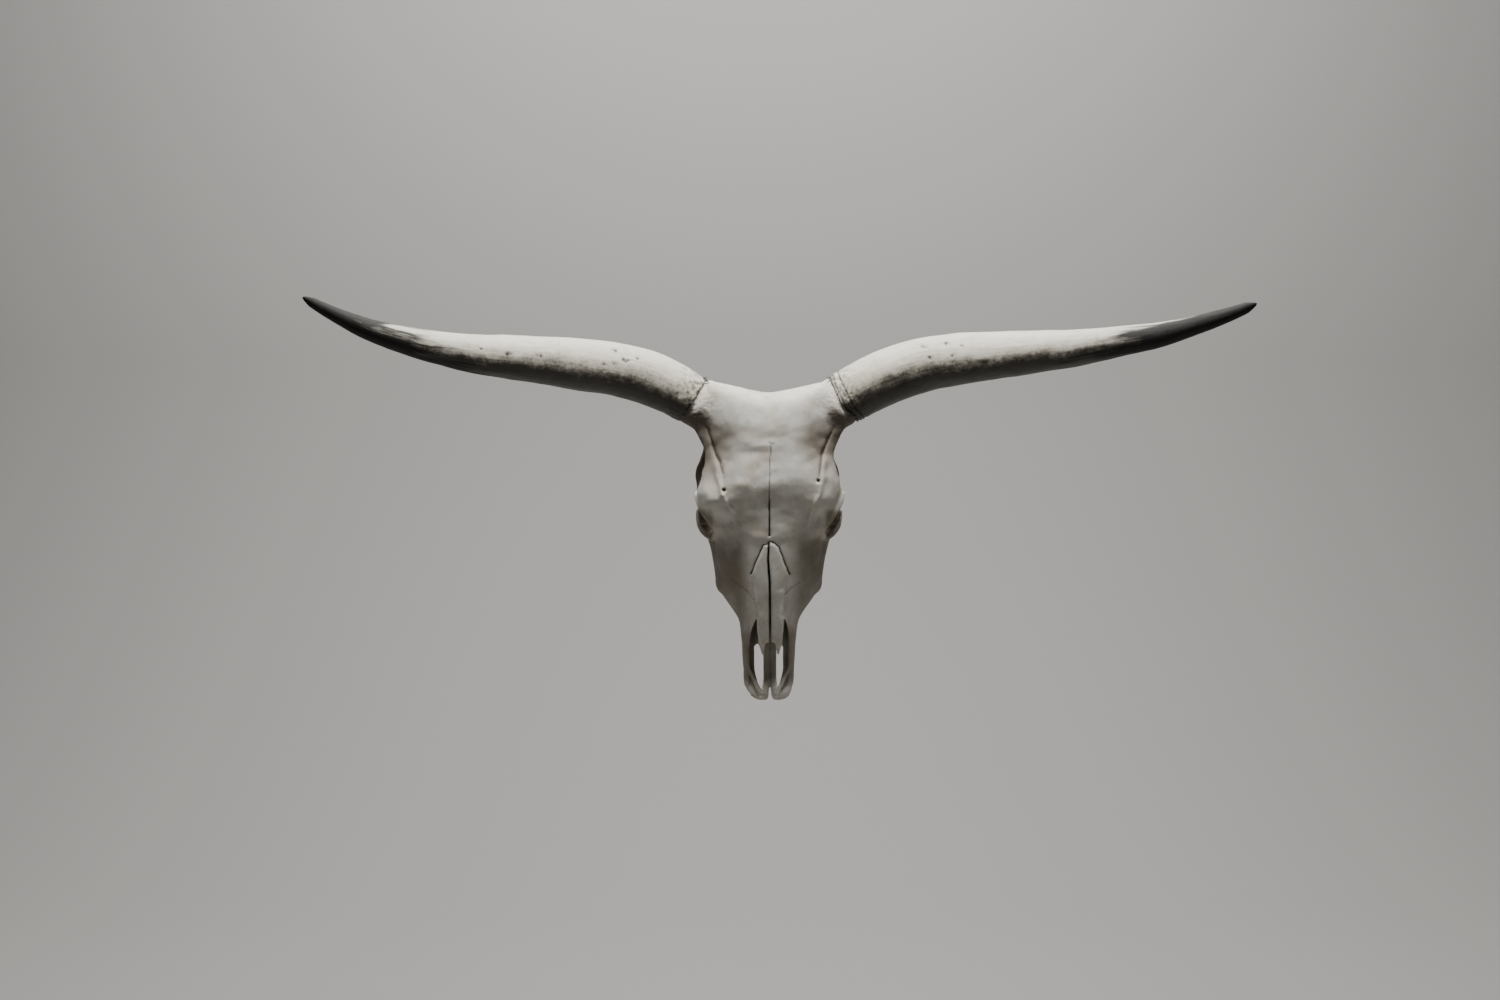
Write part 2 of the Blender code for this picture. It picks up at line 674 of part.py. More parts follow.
def make_sockets():
    """The cutter for the twelve tooth sockets, whose walls stay a fit clear of the teeth."""
    bm = bmesh.new()
    for _, side in SIDES:
        for row in CHEEK_TEETH:
            add_tooth(bm, side, row, SOCKET_SECTIONS, SOCKET_FIT)
    return as_tool(make_object("tooth_sockets", bm))


def strip_path():
    """Middle line of the hanger in (depth, z), with its two bends rounded."""
    wall = STRIP_THICKNESS / 2
    foot = FOOT_FACE - STRIP_THICKNESS / 2
    path = [(wall, STRIP_TOP)]
    angles = [math.pi / 2 * step / BEND_STEPS for step in range(BEND_STEPS + 1)]
    for angle in angles:
        path.append((wall + STRIP_BEND * (1 - math.cos(angle)),
                     STRIP_STEP + STRIP_BEND * (1 - math.sin(angle))))
    for angle in angles:
        path.append((foot - STRIP_BEND * (1 - math.sin(angle)),
                     STRIP_STEP - STRIP_BEND * (1 - math.cos(angle))))
    path.append((foot, FOOT_END))
    return path


def make_hanger(material):
    """The stepped steel strip with its keyhole and countersunk screw holes."""
    path = [Vector(point) for point in strip_path()]
    first_side, second_side = [], []
    for index, point in enumerate(path):
        run = (path[min(index + 1, len(path) - 1)] - path[max(index - 1, 0)]).normalized()
        offset = Vector((-run.y, run.x)) * (STRIP_THICKNESS / 2)
        first_side.append(point + offset)
        second_side.append(point - offset)
    bm = bmesh.new()
    outline = first_side + second_side[::-1]
    half = STRIP_WIDTH / 2
    skin(bm, [[at(x, point.x, point.y) for point in outline] for x in (-half, half)])
    ends = (STRIP_TOP, FOOT_END)
    corners = [edge for edge in bm.edges
               if all(min(abs(vert.co.z - end) for end in ends) < FIT for vert in edge.verts)
               and abs(edge.verts[0].co.x - edge.verts[1].co.x) < FIT]
    bmesh.ops.bevel(
        bm, geom=corners, offset=STRIP_CORNER, segments=CORNER_STEPS, affect="EDGES", profile=0.5)
    hanger = make_object("hanger", bm, material)
    add_boolean(hanger, make_keyhole())
    add_boolean(hanger, make_screw_holes())
    return hanger


def make_keyhole():
    """A round hole with a slot above it, cut through the part of the strip on the wall."""
    bm = bmesh.new()
    outline = []
    lift = math.asin(KEYHOLE_SLOT_HALF / KEYHOLE_RADIUS)
    for step in range(ROUND_SIDES + 1):
        angle = math.pi / 2 + lift + (math.tau - 2 * lift) * step / ROUND_SIDES
        outline.append((KEYHOLE_RADIUS * math.cos(angle), KEYHOLE_Z + KEYHOLE_RADIUS * math.sin(angle)))
    for step in range(ROUND_SIDES // 2 + 1):
        angle = math.pi * step / (ROUND_SIDES // 2)
        outline.append((KEYHOLE_SLOT_HALF * math.cos(angle),
                        KEYHOLE_TOP - KEYHOLE_SLOT_HALF + KEYHOLE_SLOT_HALF * math.sin(angle)))
    skin(bm, [[at(x, depth, z) for x, z in outline] for depth in (-STRIP_THICKNESS, 2 * STRIP_THICKNESS)])
    return as_tool(make_object("keyhole", bm))


def turned_rings(profile, z):
    """Rings of a turned shape whose axis runs in depth, from (depth, radius) rows."""
    return [section(at(0.0, depth, z), Vector((1.0, 0.0, 0.0)), UP, radius, radius, ROUND_SIDES)
            for depth, radius in profile]


def make_screw_holes():
    """The cutter for both countersunk holes, a fit larger than the screws."""
    bm = bmesh.new()
    face = FOOT_FACE - STRIP_THICKNESS
    for _, z in HANGER_SCREWS:
        skin(bm, turned_rings((
            (face - SCREW_HEAD_HEIGHT, SCREW_HEAD_RADIUS + FIT),
            (face, SCREW_HEAD_RADIUS + FIT),
            (face + SCREW_HEAD_HEIGHT, SCREW_RADIUS + FIT),
            (FOOT_FACE + SCREW_HEAD_HEIGHT, SCREW_RADIUS + FIT)), z))
    return as_tool(make_object("screw_holes", bm))


def make_pilot_holes():
    """The cutter for the screws' holes in the bone."""
    bm = bmesh.new()
    end = FOOT_FACE - STRIP_THICKNESS + SCREW_LENGTH
    for _, z in HANGER_SCREWS:
        skin(bm, turned_rings(((FOOT_FACE - STRIP_THICKNESS, SCREW_RADIUS + FIT),
                               (end + FIT, SCREW_RADIUS + FIT)), z))
    return as_tool(make_object("pilot_holes", bm))


def make_screws(material):
    """The two countersunk screws that hold the hanger's foot to the bone."""
    face = FOOT_FACE - STRIP_THICKNESS + FIT
    end = FOOT_FACE - STRIP_THICKNESS + SCREW_LENGTH
    for name, z in HANGER_SCREWS:
        bm = bmesh.new()
        skin(bm, turned_rings((
            (face, SCREW_HEAD_RADIUS - 2 * FIT),
            (face + SCREW_HEAD_HEIGHT, SCREW_RADIUS),
            (end - 2 * SCREW_RADIUS, SCREW_RADIUS),
            (end, SCREW_POINT_RADIUS)), z))
        screw = make_object(f"hanger_screw_{name}", bm, material)
        slot = make_box_tool(
            f"slot_{name}", (-SCREW_HEAD_RADIUS, face - SCREW_SLOT_DEPTH, z - SCREW_SLOT_HALF),
            (SCREW_HEAD_RADIUS, face + SCREW_SLOT_DEPTH, z + SCREW_SLOT_HALF))
        add_boolean(screw, slot)


def make_skull(material):
    """The whole skull in one piece of bone."""
    skull = make_bone_mass(material)
    add_boolean(skull, make_hollows(), solver="MANIFOLD")
    add_boolean(skull, make_slender_bones(), "UNION", "MANIFOLD")
    add_boolean(skull, make_grooves())
    add_remesh(skull, BONE_VOXEL)
    add_smoothing(skull, BONE_SMOOTHING)
    facets = skull.modifiers.new("facets", "DECIMATE")
    facets.ratio = BONE_KEPT_SHARE
    for name, _ in SIDES:
        add_boolean(skull, make_sheath_room(name))
        add_boolean(skull, make_core(name), "UNION")
    for name, top, bottom in SLITS:
        add_boolean(skull, make_box_tool(
            name, (-SLIT_HALF, SLIT_BACK, bottom), (SLIT_HALF, SLIT_FRONT, top)))
    add_boolean(skull, make_sockets())
    half = STRIP_WIDTH / 2 + PAD_MARGIN
    add_boolean(skull, make_box_tool(
        "hanger_seat",
        (-half, 0.0, FOOT_END - PAD_MARGIN),
        (half, FOOT_FACE + FIT, STRIP_STEP + PAD_MARGIN)))
    add_boolean(skull, make_pilot_holes())
    return skull


def main():
    for thing in list(bpy.data.objects):
        bpy.data.objects.remove(thing)
    bone = make_material("bleached_bone", (0.70, 0.66, 0.58), 0.75)
    keratin = make_material("weathered_horn", (0.55, 0.48, 0.38), 0.6)
    enamel = make_material("stained_enamel", (0.58, 0.52, 0.42), 0.4)
    steel = make_material("galvanised_steel", (0.55, 0.56, 0.58), 0.45, 1.0)
    make_skull(bone)
    for name, _ in SIDES:
        make_sheath(name, keratin)
    make_teeth(enamel)
    make_hanger(steel)
    make_screws(steel)


main()
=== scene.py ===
"""Looks of the mounted longhorn skull: bleached bone, weathered horn sheaths, worn teeth and a hanger.

Metres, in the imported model's own frame. X runs to the viewer's right, Z up, and the wall is the
plane y = 0. Places are written as (x, depth, z), where depth is the distance in front of the wall.
"""

import logging  # noqa: E402
import math  # noqa: E402
from dataclasses import dataclass, field  # noqa: E402
from enum import Enum  # noqa: E402
from itertools import product  # noqa: E402

import bmesh  # noqa: E402
import bpy  # noqa: E402
import numpy as np  # noqa: E402
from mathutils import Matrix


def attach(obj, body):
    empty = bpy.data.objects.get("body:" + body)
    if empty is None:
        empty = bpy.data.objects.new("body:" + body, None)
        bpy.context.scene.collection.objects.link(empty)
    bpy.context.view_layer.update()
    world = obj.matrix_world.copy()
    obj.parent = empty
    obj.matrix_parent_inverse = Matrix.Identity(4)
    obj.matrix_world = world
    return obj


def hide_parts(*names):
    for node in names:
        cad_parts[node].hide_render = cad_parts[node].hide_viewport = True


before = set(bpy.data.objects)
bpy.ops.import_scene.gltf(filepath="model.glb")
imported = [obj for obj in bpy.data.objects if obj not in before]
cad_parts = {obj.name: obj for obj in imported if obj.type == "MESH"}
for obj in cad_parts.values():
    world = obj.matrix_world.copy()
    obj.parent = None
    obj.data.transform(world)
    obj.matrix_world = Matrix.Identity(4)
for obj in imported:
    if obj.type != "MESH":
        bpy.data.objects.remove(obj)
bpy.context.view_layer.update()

import openvdb  # noqa: E402
from mathutils import Vector  # noqa: E402

LOG = logging.getLogger("longhorn")
ROOT = "root"
CURVE_STEPS = 6
LOFT_SIDES = 72
BAR_SIDES = 24
BALL_RINGS = 16
NOISE_PITCH = 0.5  # Scale of the noise node, times the size of its lumps
ROUND_END = ((0.5, 0.87), (0.87, 0.5), (0.98, 0.15))

Row = tuple[float, ...]
Rows = tuple[Row, ...]
Trace = tuple[tuple[float, float], ...]


class Side(Enum):
    """The viewer's left and right, as the sign of x."""

    LEFT = -1.0
    RIGHT = 1.0

    @property
    def word(self) -> str:
        """The side as it stands in a piece's name."""
        return self.name.lower()


def at(x: float, depth: float, z: float) -> np.ndarray:
    """A point from its distance in front of the wall."""
    return np.array((x, -depth, z))


def unit(vector: np.ndarray) -> np.ndarray:
    """A vector of length one."""
    return vector / np.linalg.norm(vector)


def smooth_rows(rows: Rows, steps: int) -> np.ndarray:
    """Join rows of numbers by a Catmull-Rom curve.

    Args:
        rows: Rows of equal length.
        steps: How many rows are made from each row to the next.

    Returns:
        The denser rows, with the first and last as given.
    """
    found = []
    last = len(rows) - 1
    table = np.array(rows)
    for index in range(last):
        before, after = table[max(index - 1, 0)], table[min(index + 2, last)]
        start, end = table[index], table[index + 1]
        for step in range(steps):
            t = step / steps
            found.append(0.5 * (2 * start + (end - before) * t
                                + (2 * before - 5 * start + 4 * end - after) * t ** 2
                                + (3 * start - before - 3 * end + after) * t ** 3))
    return np.array(found + [table[last]])


def smooth_step(values: np.ndarray, start: float, end: float) -> np.ndarray:
    """A soft climb from 0 at start to 1 at end."""
    share = np.clip((values - start) / (end - start), 0.0, 1.0)
    return share * share * (3.0 - 2.0 * share)


def mix_corners(table: np.ndarray, base: np.ndarray, part: np.ndarray) -> np.ndarray:
    """Blend the eight values of a block round each place.

    Args:
        table: The block.
        base: The lowest corner of each place's cell. It wraps round the block's ends.
        part: How far along the cell each place lies, from 0 to 1 on each axis.

    Returns:
        A value for each place.
    """
    total = np.zeros(len(base))
    for corner in product((0, 1), repeat=3):
        index = (base + corner) % table.shape
        weight = np.prod(np.where(corner, part, 1.0 - part), axis=1)
        total += weight * table[index[:, 0], index[:, 1], index[:, 2]]
    return total


def cloud(points: np.ndarray, size: float | tuple[float, float, float], seed: int) -> np.ndarray:
    """Smooth random values in space.

    Args:
        points: Places in metres, one a row.
        size: Size of a lump in metres, one number or one for each axis.
        seed: Which random field to use.

    Returns:
        A value from -1 to 1 for each point.
    """
    table = np.random.default_rng(seed).uniform(-1.0, 1.0, (32, 32, 32))
    place = points / np.array(size)
    base = np.floor(place).astype(int)
    part = place - base
    return mix_corners(table, base, part * part * (3.0 - 2.0 * part))


def along_line(x: np.ndarray, z: np.ndarray, rows: Rows) -> list[np.ndarray]:
    """Where each point lies along a line traced in the plane of the wall.

    Args:
        x: The points' x.
        z: The points' z.
        rows: The line as (x, z, and any further values that change along it).

    Returns:
        The distance to the line, then each further value at the nearest place on it.
    """
    table = np.array(rows)
    shape = np.broadcast(x, z).shape
    found = [np.full(shape, 1.0)] + [np.zeros(shape) for _ in table[0, 2:]]
    for start, end in zip(table, table[1:]):
        (x0, z0), (dx, dz) = start[:2], end[:2] - start[:2]
        share = np.clip(((x - x0) * dx + (z - z0) * dz) / (dx * dx + dz * dz), 0.0, 1.0)
        away = np.hypot(x - x0 - share * dx, z - z0 - share * dz)
        closer = away < found[0]
        found[0] = np.where(closer, away, found[0])
        for number, (first, last) in enumerate(zip(start[2:], end[2:]), 1):
            found[number] = np.where(closer, first + share * (last - first), found[number])
    return found


def inside_trace(x: np.ndarray, z: np.ndarray, trace: Trace) -> np.ndarray:
    """Whether each point lies inside a closed traced outline in the plane of the wall."""
    found = np.zeros(x.shape, bool)
    for (x0, z0), (x1, z1) in zip(trace, trace[1:] + trace[:1]):
        crosses = (z0 > z) != (z1 > z)
        where = x0 + (z - z0) * (x1 - x0) / ((z1 - z0) or 1e-9)
        found ^= crosses & (x < where)
    return found


# Solids for the bone field


@dataclass
class Solid:
    """A closed skin of quads with fans of triangles on its ends."""

    points: np.ndarray
    quads: np.ndarray
    caps: np.ndarray

    @classmethod
    def from_rings(cls, rings: np.ndarray, closed: bool = False) -> "Solid":
        """Skin a row of point rings.

        Args:
            rings: Points as (ring, point, axis).
            closed: Whether the last ring joins the first.

        Returns:
            The solid.
        """
        count, sides, _ = rings.shape
        index = np.arange(count * sides).reshape(count, sides)
        first = index if closed else index[:-1]
        second = np.roll(index, -1, axis=0) if closed else index[1:]
        quads = np.stack(
            (first, np.roll(first, -1, axis=1), np.roll(second, -1, axis=1), second), axis=-1)
        points = rings.reshape(-1, 3)
        caps = np.zeros((0, 3), int)
        if not closed:
            points = np.vstack((points, rings[0].mean(0), rings[-1].mean(0)))
            start, end = index[0], index[-1]
            middle = np.full(sides, count * sides)
            caps = np.vstack((np.stack((np.roll(start, -1), start, middle), axis=1),
                              np.stack((end, np.roll(end, -1), middle + 1), axis=1)))
        return cls(points, quads.reshape(-1, 4), caps)


def section(centre: np.ndarray, first: np.ndarray, second: np.ndarray,
            half_first: float, half_second: float, sides: int = BAR_SIDES) -> np.ndarray:
    """An ellipse of points round a centre.

    Args:
        centre: Its middle.
        first: Direction of its first half axis.
        second: Direction of its second half axis.
        half_first: Length of the first half axis.
        half_second: Length of the second half axis.
        sides: How many points it has.

    Returns:
        The points, one a row.
    """
    angle = np.arange(sides)[:, None] * math.tau / sides
    return centre + first * half_first * np.cos(angle) + second * half_second * np.sin(angle)


def loft(stations: Rows) -> Solid:
    """A body skinned over rounded sections stacked up Z.

    Args:
        stations: Rows of z, half width, front, widest line and back depths, and two squarenesses.

    Returns:
        The solid.
    """
    angle = np.arange(LOFT_SIDES) * math.tau / LOFT_SIDES
    across, rise = np.cos(angle), np.sin(angle)
    rings = []
    for z, half, front, wide, back, front_power, back_power in smooth_rows(stations, CURVE_STEPS):
        power = np.where(rise > 0, front_power, back_power)
        reach = np.where(rise > 0, front - wide, wide - back)
        x = half * np.copysign(np.abs(across) ** (2 / power), across)
        depth = wide + reach * np.copysign(np.abs(rise) ** (2 / power), rise)
        rings.append(np.stack((x, -depth, np.full_like(x, z)), axis=1))
    return Solid.from_rings(np.array(rings))


def bar(rows: Rows, side: float = 1.0, lean: Row = (0.0, 1.0, 0.0)) -> Solid:
    """A bar with round ends.

    Args:
        rows: Rows of x, depth, z, half thickness across and half thickness along the lean.
        side: 1 for the right side as written, -1 for the left.
        lean: Direction of the second half thickness, as (x, depth, z).

    Returns:
        The solid.
    """
    lean_vector = at(side * lean[0], lean[1], lean[2])
    table = smooth_rows(rows, CURVE_STEPS)
    centres = np.stack((side * table[:, 0], -table[:, 1], table[:, 2]), axis=1)
    rings = []
    last = len(table) - 1
    for index, centre in enumerate(centres):
        tangent = unit(centres[min(index + 1, last)] - centres[max(index - 1, 0)])
        second = unit(lean_vector - tangent * lean_vector.dot(tangent))
        first = np.cross(tangent, second)
        across, deep = table[index, 3], table[index, 4]
        ring = section(centre, first, second, across, deep)
        outward = -tangent if index == 0 else tangent
        ends = []
        if index in (0, last):
            reach = min(across, deep)
            ends = [section(centre + outward * (reach * rise), first, second, across * inset, deep * inset)
                    for rise, inset in ROUND_END]
        rings += ends[::-1] + [ring] if index == 0 else [ring] + ends
    return Solid.from_rings(np.array(rings))


def ball(centre: Row, radii: Row, side: float = 1.0) -> Solid:
    """An ellipsoid.

    Args:
        centre: Its middle as (x, depth, z).
        radii: Its radii along x, depth and z.
        side: 1 for the right side as written, -1 for the left.

    Returns:
        The solid.
    """
    middle = at(side * centre[0], centre[1], centre[2])
    rings = []
    for step in range(BALL_RINGS):
        polar = math.pi * (step + 0.5) / BALL_RINGS
        rings.append(section(
            middle + np.array((0.0, 0.0, radii[2] * math.cos(polar))),
            np.array((1.0, 0.0, 0.0)), np.array((0.0, 1.0, 0.0)),
            radii[0] * math.sin(polar), radii[1] * math.sin(polar)))
    return Solid.from_rings(np.array(rings))


def hoop(rows: Rows, side: float) -> Solid:
    """A closed ring of round bar.

    Args:
        rows: Rows of x, depth, z and radius of the bar, round the ring.
        side: 1 for the right side as written, -1 for the left.

    Returns:
        The solid.
    """
    table = smooth_rows(rows[-1:] + rows + rows[:2], CURVE_STEPS)[CURVE_STEPS:-CURVE_STEPS - 1]
    centres = np.stack((side * table[:, 0], -table[:, 1], table[:, 2]), axis=1)
    middle = centres.mean(0)
    tangents = np.roll(centres, -1, axis=0) - np.roll(centres, 1, axis=0)
    rings = []
    for centre, run, radius in zip(centres, tangents, table[:, 3]):
        tangent = unit(run)
        outward = centre - middle
        first = unit(outward - tangent * outward.dot(tangent))
        rings.append(section(centre, first, np.cross(tangent, first), radius, radius))
    return Solid.from_rings(np.array(rings), closed=True)


def block(low: Row, high: Row) -> Solid:
    """A box between two corners given as (x, depth, z)."""
    (x0, d0, z0), (x1, d1, z1) = low, high
    rings = [[at(x0, d0, z), at(x1, d0, z), at(x1, d1, z), at(x0, d1, z)] for z in (z0, z1)]
    return Solid.from_rings(np.array(rings))


@dataclass
class BoneField:
    """A block of distances to the bone's surface, which shapes are joined to and cut from."""

    low: Row
    high: Row
    voxel: float
    reach: float
    values: np.ndarray = field(init=False)

    def __post_init__(self) -> None:
        """Start with empty space."""
        counts = np.ceil((np.array(self.high) - self.low) / self.voxel).astype(int) + 1
        self.values = np.full(counts, self.reach, np.float32)

    def axis(self, number: int) -> np.ndarray:
        """The lattice's places along one axis."""
        return self.low[number] + np.arange(self.values.shape[number]) * self.voxel

    def distances(self, solid: Solid) -> tuple[tuple[slice, ...], np.ndarray]:
        """Measure the distance to a solid, where it is near.

        Args:
            solid: The closed solid.

        Returns:
            The window of the lattice round it, and the distances there.
        """
        places = ((solid.points - self.low) / self.voxel).astype(np.float32)
        width = self.reach / self.voxel
        grid = openvdb.FloatGrid.createLevelSetFromPolygons(
            places, solid.caps.astype(np.uint32), solid.quads.astype(np.uint32), halfWidth=width)
        start = np.maximum(np.floor(places.min(0) - width).astype(int), 0)
        stop = np.minimum(np.ceil(places.max(0) + width).astype(int) + 1, self.values.shape)
        found = np.empty(tuple(stop - start), np.float32)
        grid.copyToArray(found, ijk=tuple(int(value) for value in start))
        window = tuple(slice(int(low), int(high)) for low, high in zip(start, stop))
        return window, found * self.voxel

    def join(self, solid: Solid, blend: float) -> None:
        """Add a solid, with a fillet of about the given size."""
        window, other = self.distances(solid)
        mine = self.values[window]
        overlap = np.maximum(blend - np.abs(mine - other), 0.0) / blend
        self.values[window] = np.minimum(mine, other) - overlap ** 2 * blend / 4

    def cut(self, solid: Solid, blend: float) -> None:
        """Cut a solid away, with an edge rounded by about the given size."""
        window, other = self.distances(solid)
        mine = self.values[window]
        overlap = np.maximum(blend - np.abs(mine + other), 0.0) / blend
        self.values[window] = np.maximum(mine, -other) + overlap ** 2 * blend / 4

    def cut_slit(self, rows: Rows, depths: tuple[float, float]) -> None:
        """Cut a slit straight back, from one depth to another."""
        x, z = self.axis(0)[:, None], self.axis(2)[None, :]
        away, half = along_line(x, z, rows)
        plan = (away - half).astype(np.float32)
        depth = -self.axis(1)
        inside = np.flatnonzero((depth > depths[0]) & (depth < depths[1]))
        window = (slice(None), slice(inside[0], inside[-1] + 1), slice(None))
        self.values[window] = np.maximum(self.values[window], -plan[:, None, :])

    def raise_front(self, height: np.ndarray, start: float, end: float) -> None:
        """Raise the surface towards the viewer.

        Args:
            height: How far, for each (x, z) of the lattice.
            start: Depth at which the raising sets in.
            end: Depth from which it is whole.
        """
        share = smooth_step(-self.axis(1), start, end).astype(np.float32)
        self.values -= height.astype(np.float32)[:, None, :] * share[None, :, None]

    def soften(self, spread: float) -> None:
        """Blur the distances, which rounds every edge and fills every corner."""
        shape = self.values.shape
        waves = np.fft.rfftn(self.values)
        for number, count in enumerate(shape):
            pace = np.fft.rfftfreq(count) if number == 2 else np.fft.fftfreq(count)
            gain = np.exp(-2.0 * (math.pi * pace * spread / self.voxel) ** 2)
            waves *= gain.reshape([-1 if axis == number else 1 for axis in range(3)])
        self.values = np.fft.irfftn(waves, shape).astype(np.float32)

    def sample(self, points: np.ndarray) -> np.ndarray:
        """The distance at each point."""
        place = np.clip((points - self.low) / self.voxel, 0.0, np.array(self.values.shape) - 1.001)
        base = np.floor(place).astype(int)
        return mix_corners(self.values, base, place - base)

    def skin(self) -> tuple[np.ndarray, np.ndarray]:
        """Draw the surface where the distance is nil.

        Returns:
            Its points and its outward quads.
        """
        grid = openvdb.FloatGrid(self.reach)
        grid.copyFromArray(np.clip(self.values, -self.reach, self.reach))
        grid.gridClass = openvdb.GridClass.LEVEL_SET
        points, _, quads = grid.convertToPolygons(isovalue=0.0, adaptivity=0.0)
        return points.astype(float) * self.voxel + np.array(self.low), quads[:, ::-1].astype(int)


# Blender helpers


def linear(code: str) -> tuple[float, float, float, float]:
    """Turn an sRGB hex colour into linear red, green, blue and alpha."""
    parts = [int(code[index:index + 2], 16) / 255 for index in (0, 2, 4)]
    return (*(part / 12.92 if part <= 0.04045 else ((part + 0.055) / 1.055) ** 2.4 for part in parts), 1.0)


class Kind(Enum):
    """The kinds of node in use.

    Each is its type, its usual settings, its inputs in the order in which Graph.add takes them, and the
    output that is wanted of it.
    """

    NUMBERS = ("ShaderNodeMath", {}, (0, 1), 0)
    VECTORS = ("ShaderNodeVectorMath", {}, (0, 1), 0)
    SPLIT = ("ShaderNodeSeparateXYZ", {}, (0,), 0)
    COMBINE = ("ShaderNodeCombineXYZ", {}, (0, 1, 2), 0)
    NOISE = ("ShaderNodeTexNoise", {"noise_dimensions": "4D"},
             ("Vector", "Scale", "Detail", "Roughness", "W"), "Fac")
    CLIMB = ("ShaderNodeMapRange", {"interpolation_type": "SMOOTHSTEP"},
             ("Value", "From Min", "From Max", "To Max"), "Result")
    CELLS = ("ShaderNodeTexVoronoi", {}, ("Vector", "Scale"), "Distance")
    COLOUR_PARTS = ("ShaderNodeSeparateColor", {}, ("Color",), "Red")
    TINT = ("ShaderNodeMix", {"data_type": "RGBA"}, (0, 6, 7), 2)
    BUMP = ("ShaderNodeBump", {}, ("Strength", "Distance", "Height", "Normal"), "Normal")
    FACT = ("ShaderNodeAttribute", {}, (), "Fac")
    OBJECT_PLACE = ("ShaderNodeTexCoord", {}, (), "Object")
    GIVEN = ("NodeGroupInput", {}, (), "Geometry")
    GRID = ("GeometryNodeMeshGrid", {}, ("Size X", "Size Y", "Vertices X", "Vertices Y"), "Mesh")
    BLOCK = ("GeometryNodeMeshCube", {}, ("Size", "Vertices X", "Vertices Y"), "Mesh")
    PLACE = ("GeometryNodeInputPosition", {}, (), 0)
    LENGTH = ("GeometryNodeCurveLength", {}, (0,), 0)
    RADIUS = ("GeometryNodeInputRadius", {}, (), 0)
    SAMPLE = ("GeometryNodeSampleCurve", {"mode": "LENGTH", "data_type": "FLOAT"},
              ("Curves", "Value", "Length"), "Value")
    CHOOSE = ("GeometryNodeSwitch", {"input_type": "FLOAT"}, (0, 1, 2), 0)
    KEEP = ("GeometryNodeStoreNamedAttribute", {"data_type": "FLOAT"}, ("Geometry", "Name", "Value"), 0)
    KEPT = ("GeometryNodeInputNamedAttribute", {"data_type": "FLOAT"}, ("Name",), "Attribute")
    MOVE = ("GeometryNodeSetPosition", {}, ("Geometry", "Position"), 0)
    WELD = ("GeometryNodeMergeByDistance", {}, ("Geometry", "Distance"), 0)
    CHANCE = ("FunctionNodeRandomValue", {"data_type": "FLOAT"}, (2, 3, "Seed"), 1)
    CHANCES = ("FunctionNodeRandomValue", {"data_type": "FLOAT_VECTOR"}, (0, 1, "Seed"), 0)
    FACING = ("FunctionNodeAlignRotationToVector", {"axis": "Z"}, ("Vector",), 0)
    SCATTER = ("GeometryNodeInstanceOnPoints", {},
               ("Points", "Selection", "Instance", "Rotation", "Scale"), 0)
    JOIN = ("GeometryNodeJoinGeometry", {}, (0, 0), 0)
    REALIZE = ("GeometryNodeRealizeInstances", {}, (0,), 0)
    DRESS = ("GeometryNodeSetMaterial", {}, ("Geometry", "Material"), 0)
    SMOOTH = ("GeometryNodeSetShadeSmooth", {}, (0,), 0)
    RESULT = ("NodeGroupOutput", {}, (0,), 0)


@dataclass
class Wire:
    """One output of a node. Sums and products of wires, numbers and vectors add the nodes for them."""

    graph: "Graph"
    node: bpy.types.Node
    output: int | str

    @property
    def socket(self) -> bpy.types.NodeSocket:
        """The output itself."""
        return self.node.outputs[self.output]

    def __getitem__(self, output: int | str) -> "Wire":
        """Another output of the same node."""
        return Wire(self.graph, self.node, output)

    def __add__(self, other: object) -> "Wire":
        """This plus another."""
        return self.graph.add("ADD", self, other)

    def __radd__(self, other: object) -> "Wire":
        """A number plus this."""
        return self.graph.add("ADD", other, self)

    def __sub__(self, other: object) -> "Wire":
        """This less another."""
        return self.graph.add("SUBTRACT", self, other)

    def __rsub__(self, other: object) -> "Wire":
        """A number or vector less this."""
        return self.graph.add("SUBTRACT", other, self)

    def __mul__(self, other: object) -> "Wire":
        """This times another."""
        return self.graph.add("MULTIPLY", self, other)

    def __truediv__(self, other: object) -> "Wire":
        """This divided by another."""
        return self.graph.add("DIVIDE", self, other)


@dataclass
class Graph:
    """Adds nodes to one shader or geometry tree."""

    tree: bpy.types.NodeTree

    def add(self, kind: Kind | str, *values: object, **settings: object) -> Wire:
        """Add a node, set it and link it.

        Args:
            kind: Its kind, or the name of a step of arithmetic, which is in vectors if a value is one.
            values: A value or a wire for each of the kind's inputs in order. None leaves one alone.
            settings: Its own properties, beside or instead of the kind's usual ones.

        Returns:
            The wire from its usual output.
        """
        if isinstance(kind, str):
            settings["operation"] = kind
            kind = Kind.NUMBERS
            if any(value.socket.type == "VECTOR" if isinstance(value, Wire) else isinstance(value, tuple)
                   for value in values):
                kind = Kind.VECTORS
                values = [value if isinstance(value, (Wire, tuple)) else (value,) * 3 for value in values]
        type_name, usual, inputs, output = kind.value
        made = self.tree.nodes.new(type_name)
        for name, value in {**usual, **settings}.items():
            setattr(made, name, value)
        for name, value in zip(inputs, values):
            if isinstance(value, Wire):
                self.tree.links.new(value.socket, made.inputs[name])
            elif value is not None:
                made.inputs[name].default_value = value
        return Wire(self, made, output)


def start_finish(name: str) -> tuple[bpy.types.Material, Graph, Wire]:
    """Begin a material.

    Args:
        name: Its name.

    Returns:
        The material, a builder for its tree and the place on the object.
    """
    material = bpy.data.materials.new(name)
    material.use_nodes = True
    graph = Graph(material.node_tree)
    return material, graph, graph.add(Kind.OBJECT_PLACE)


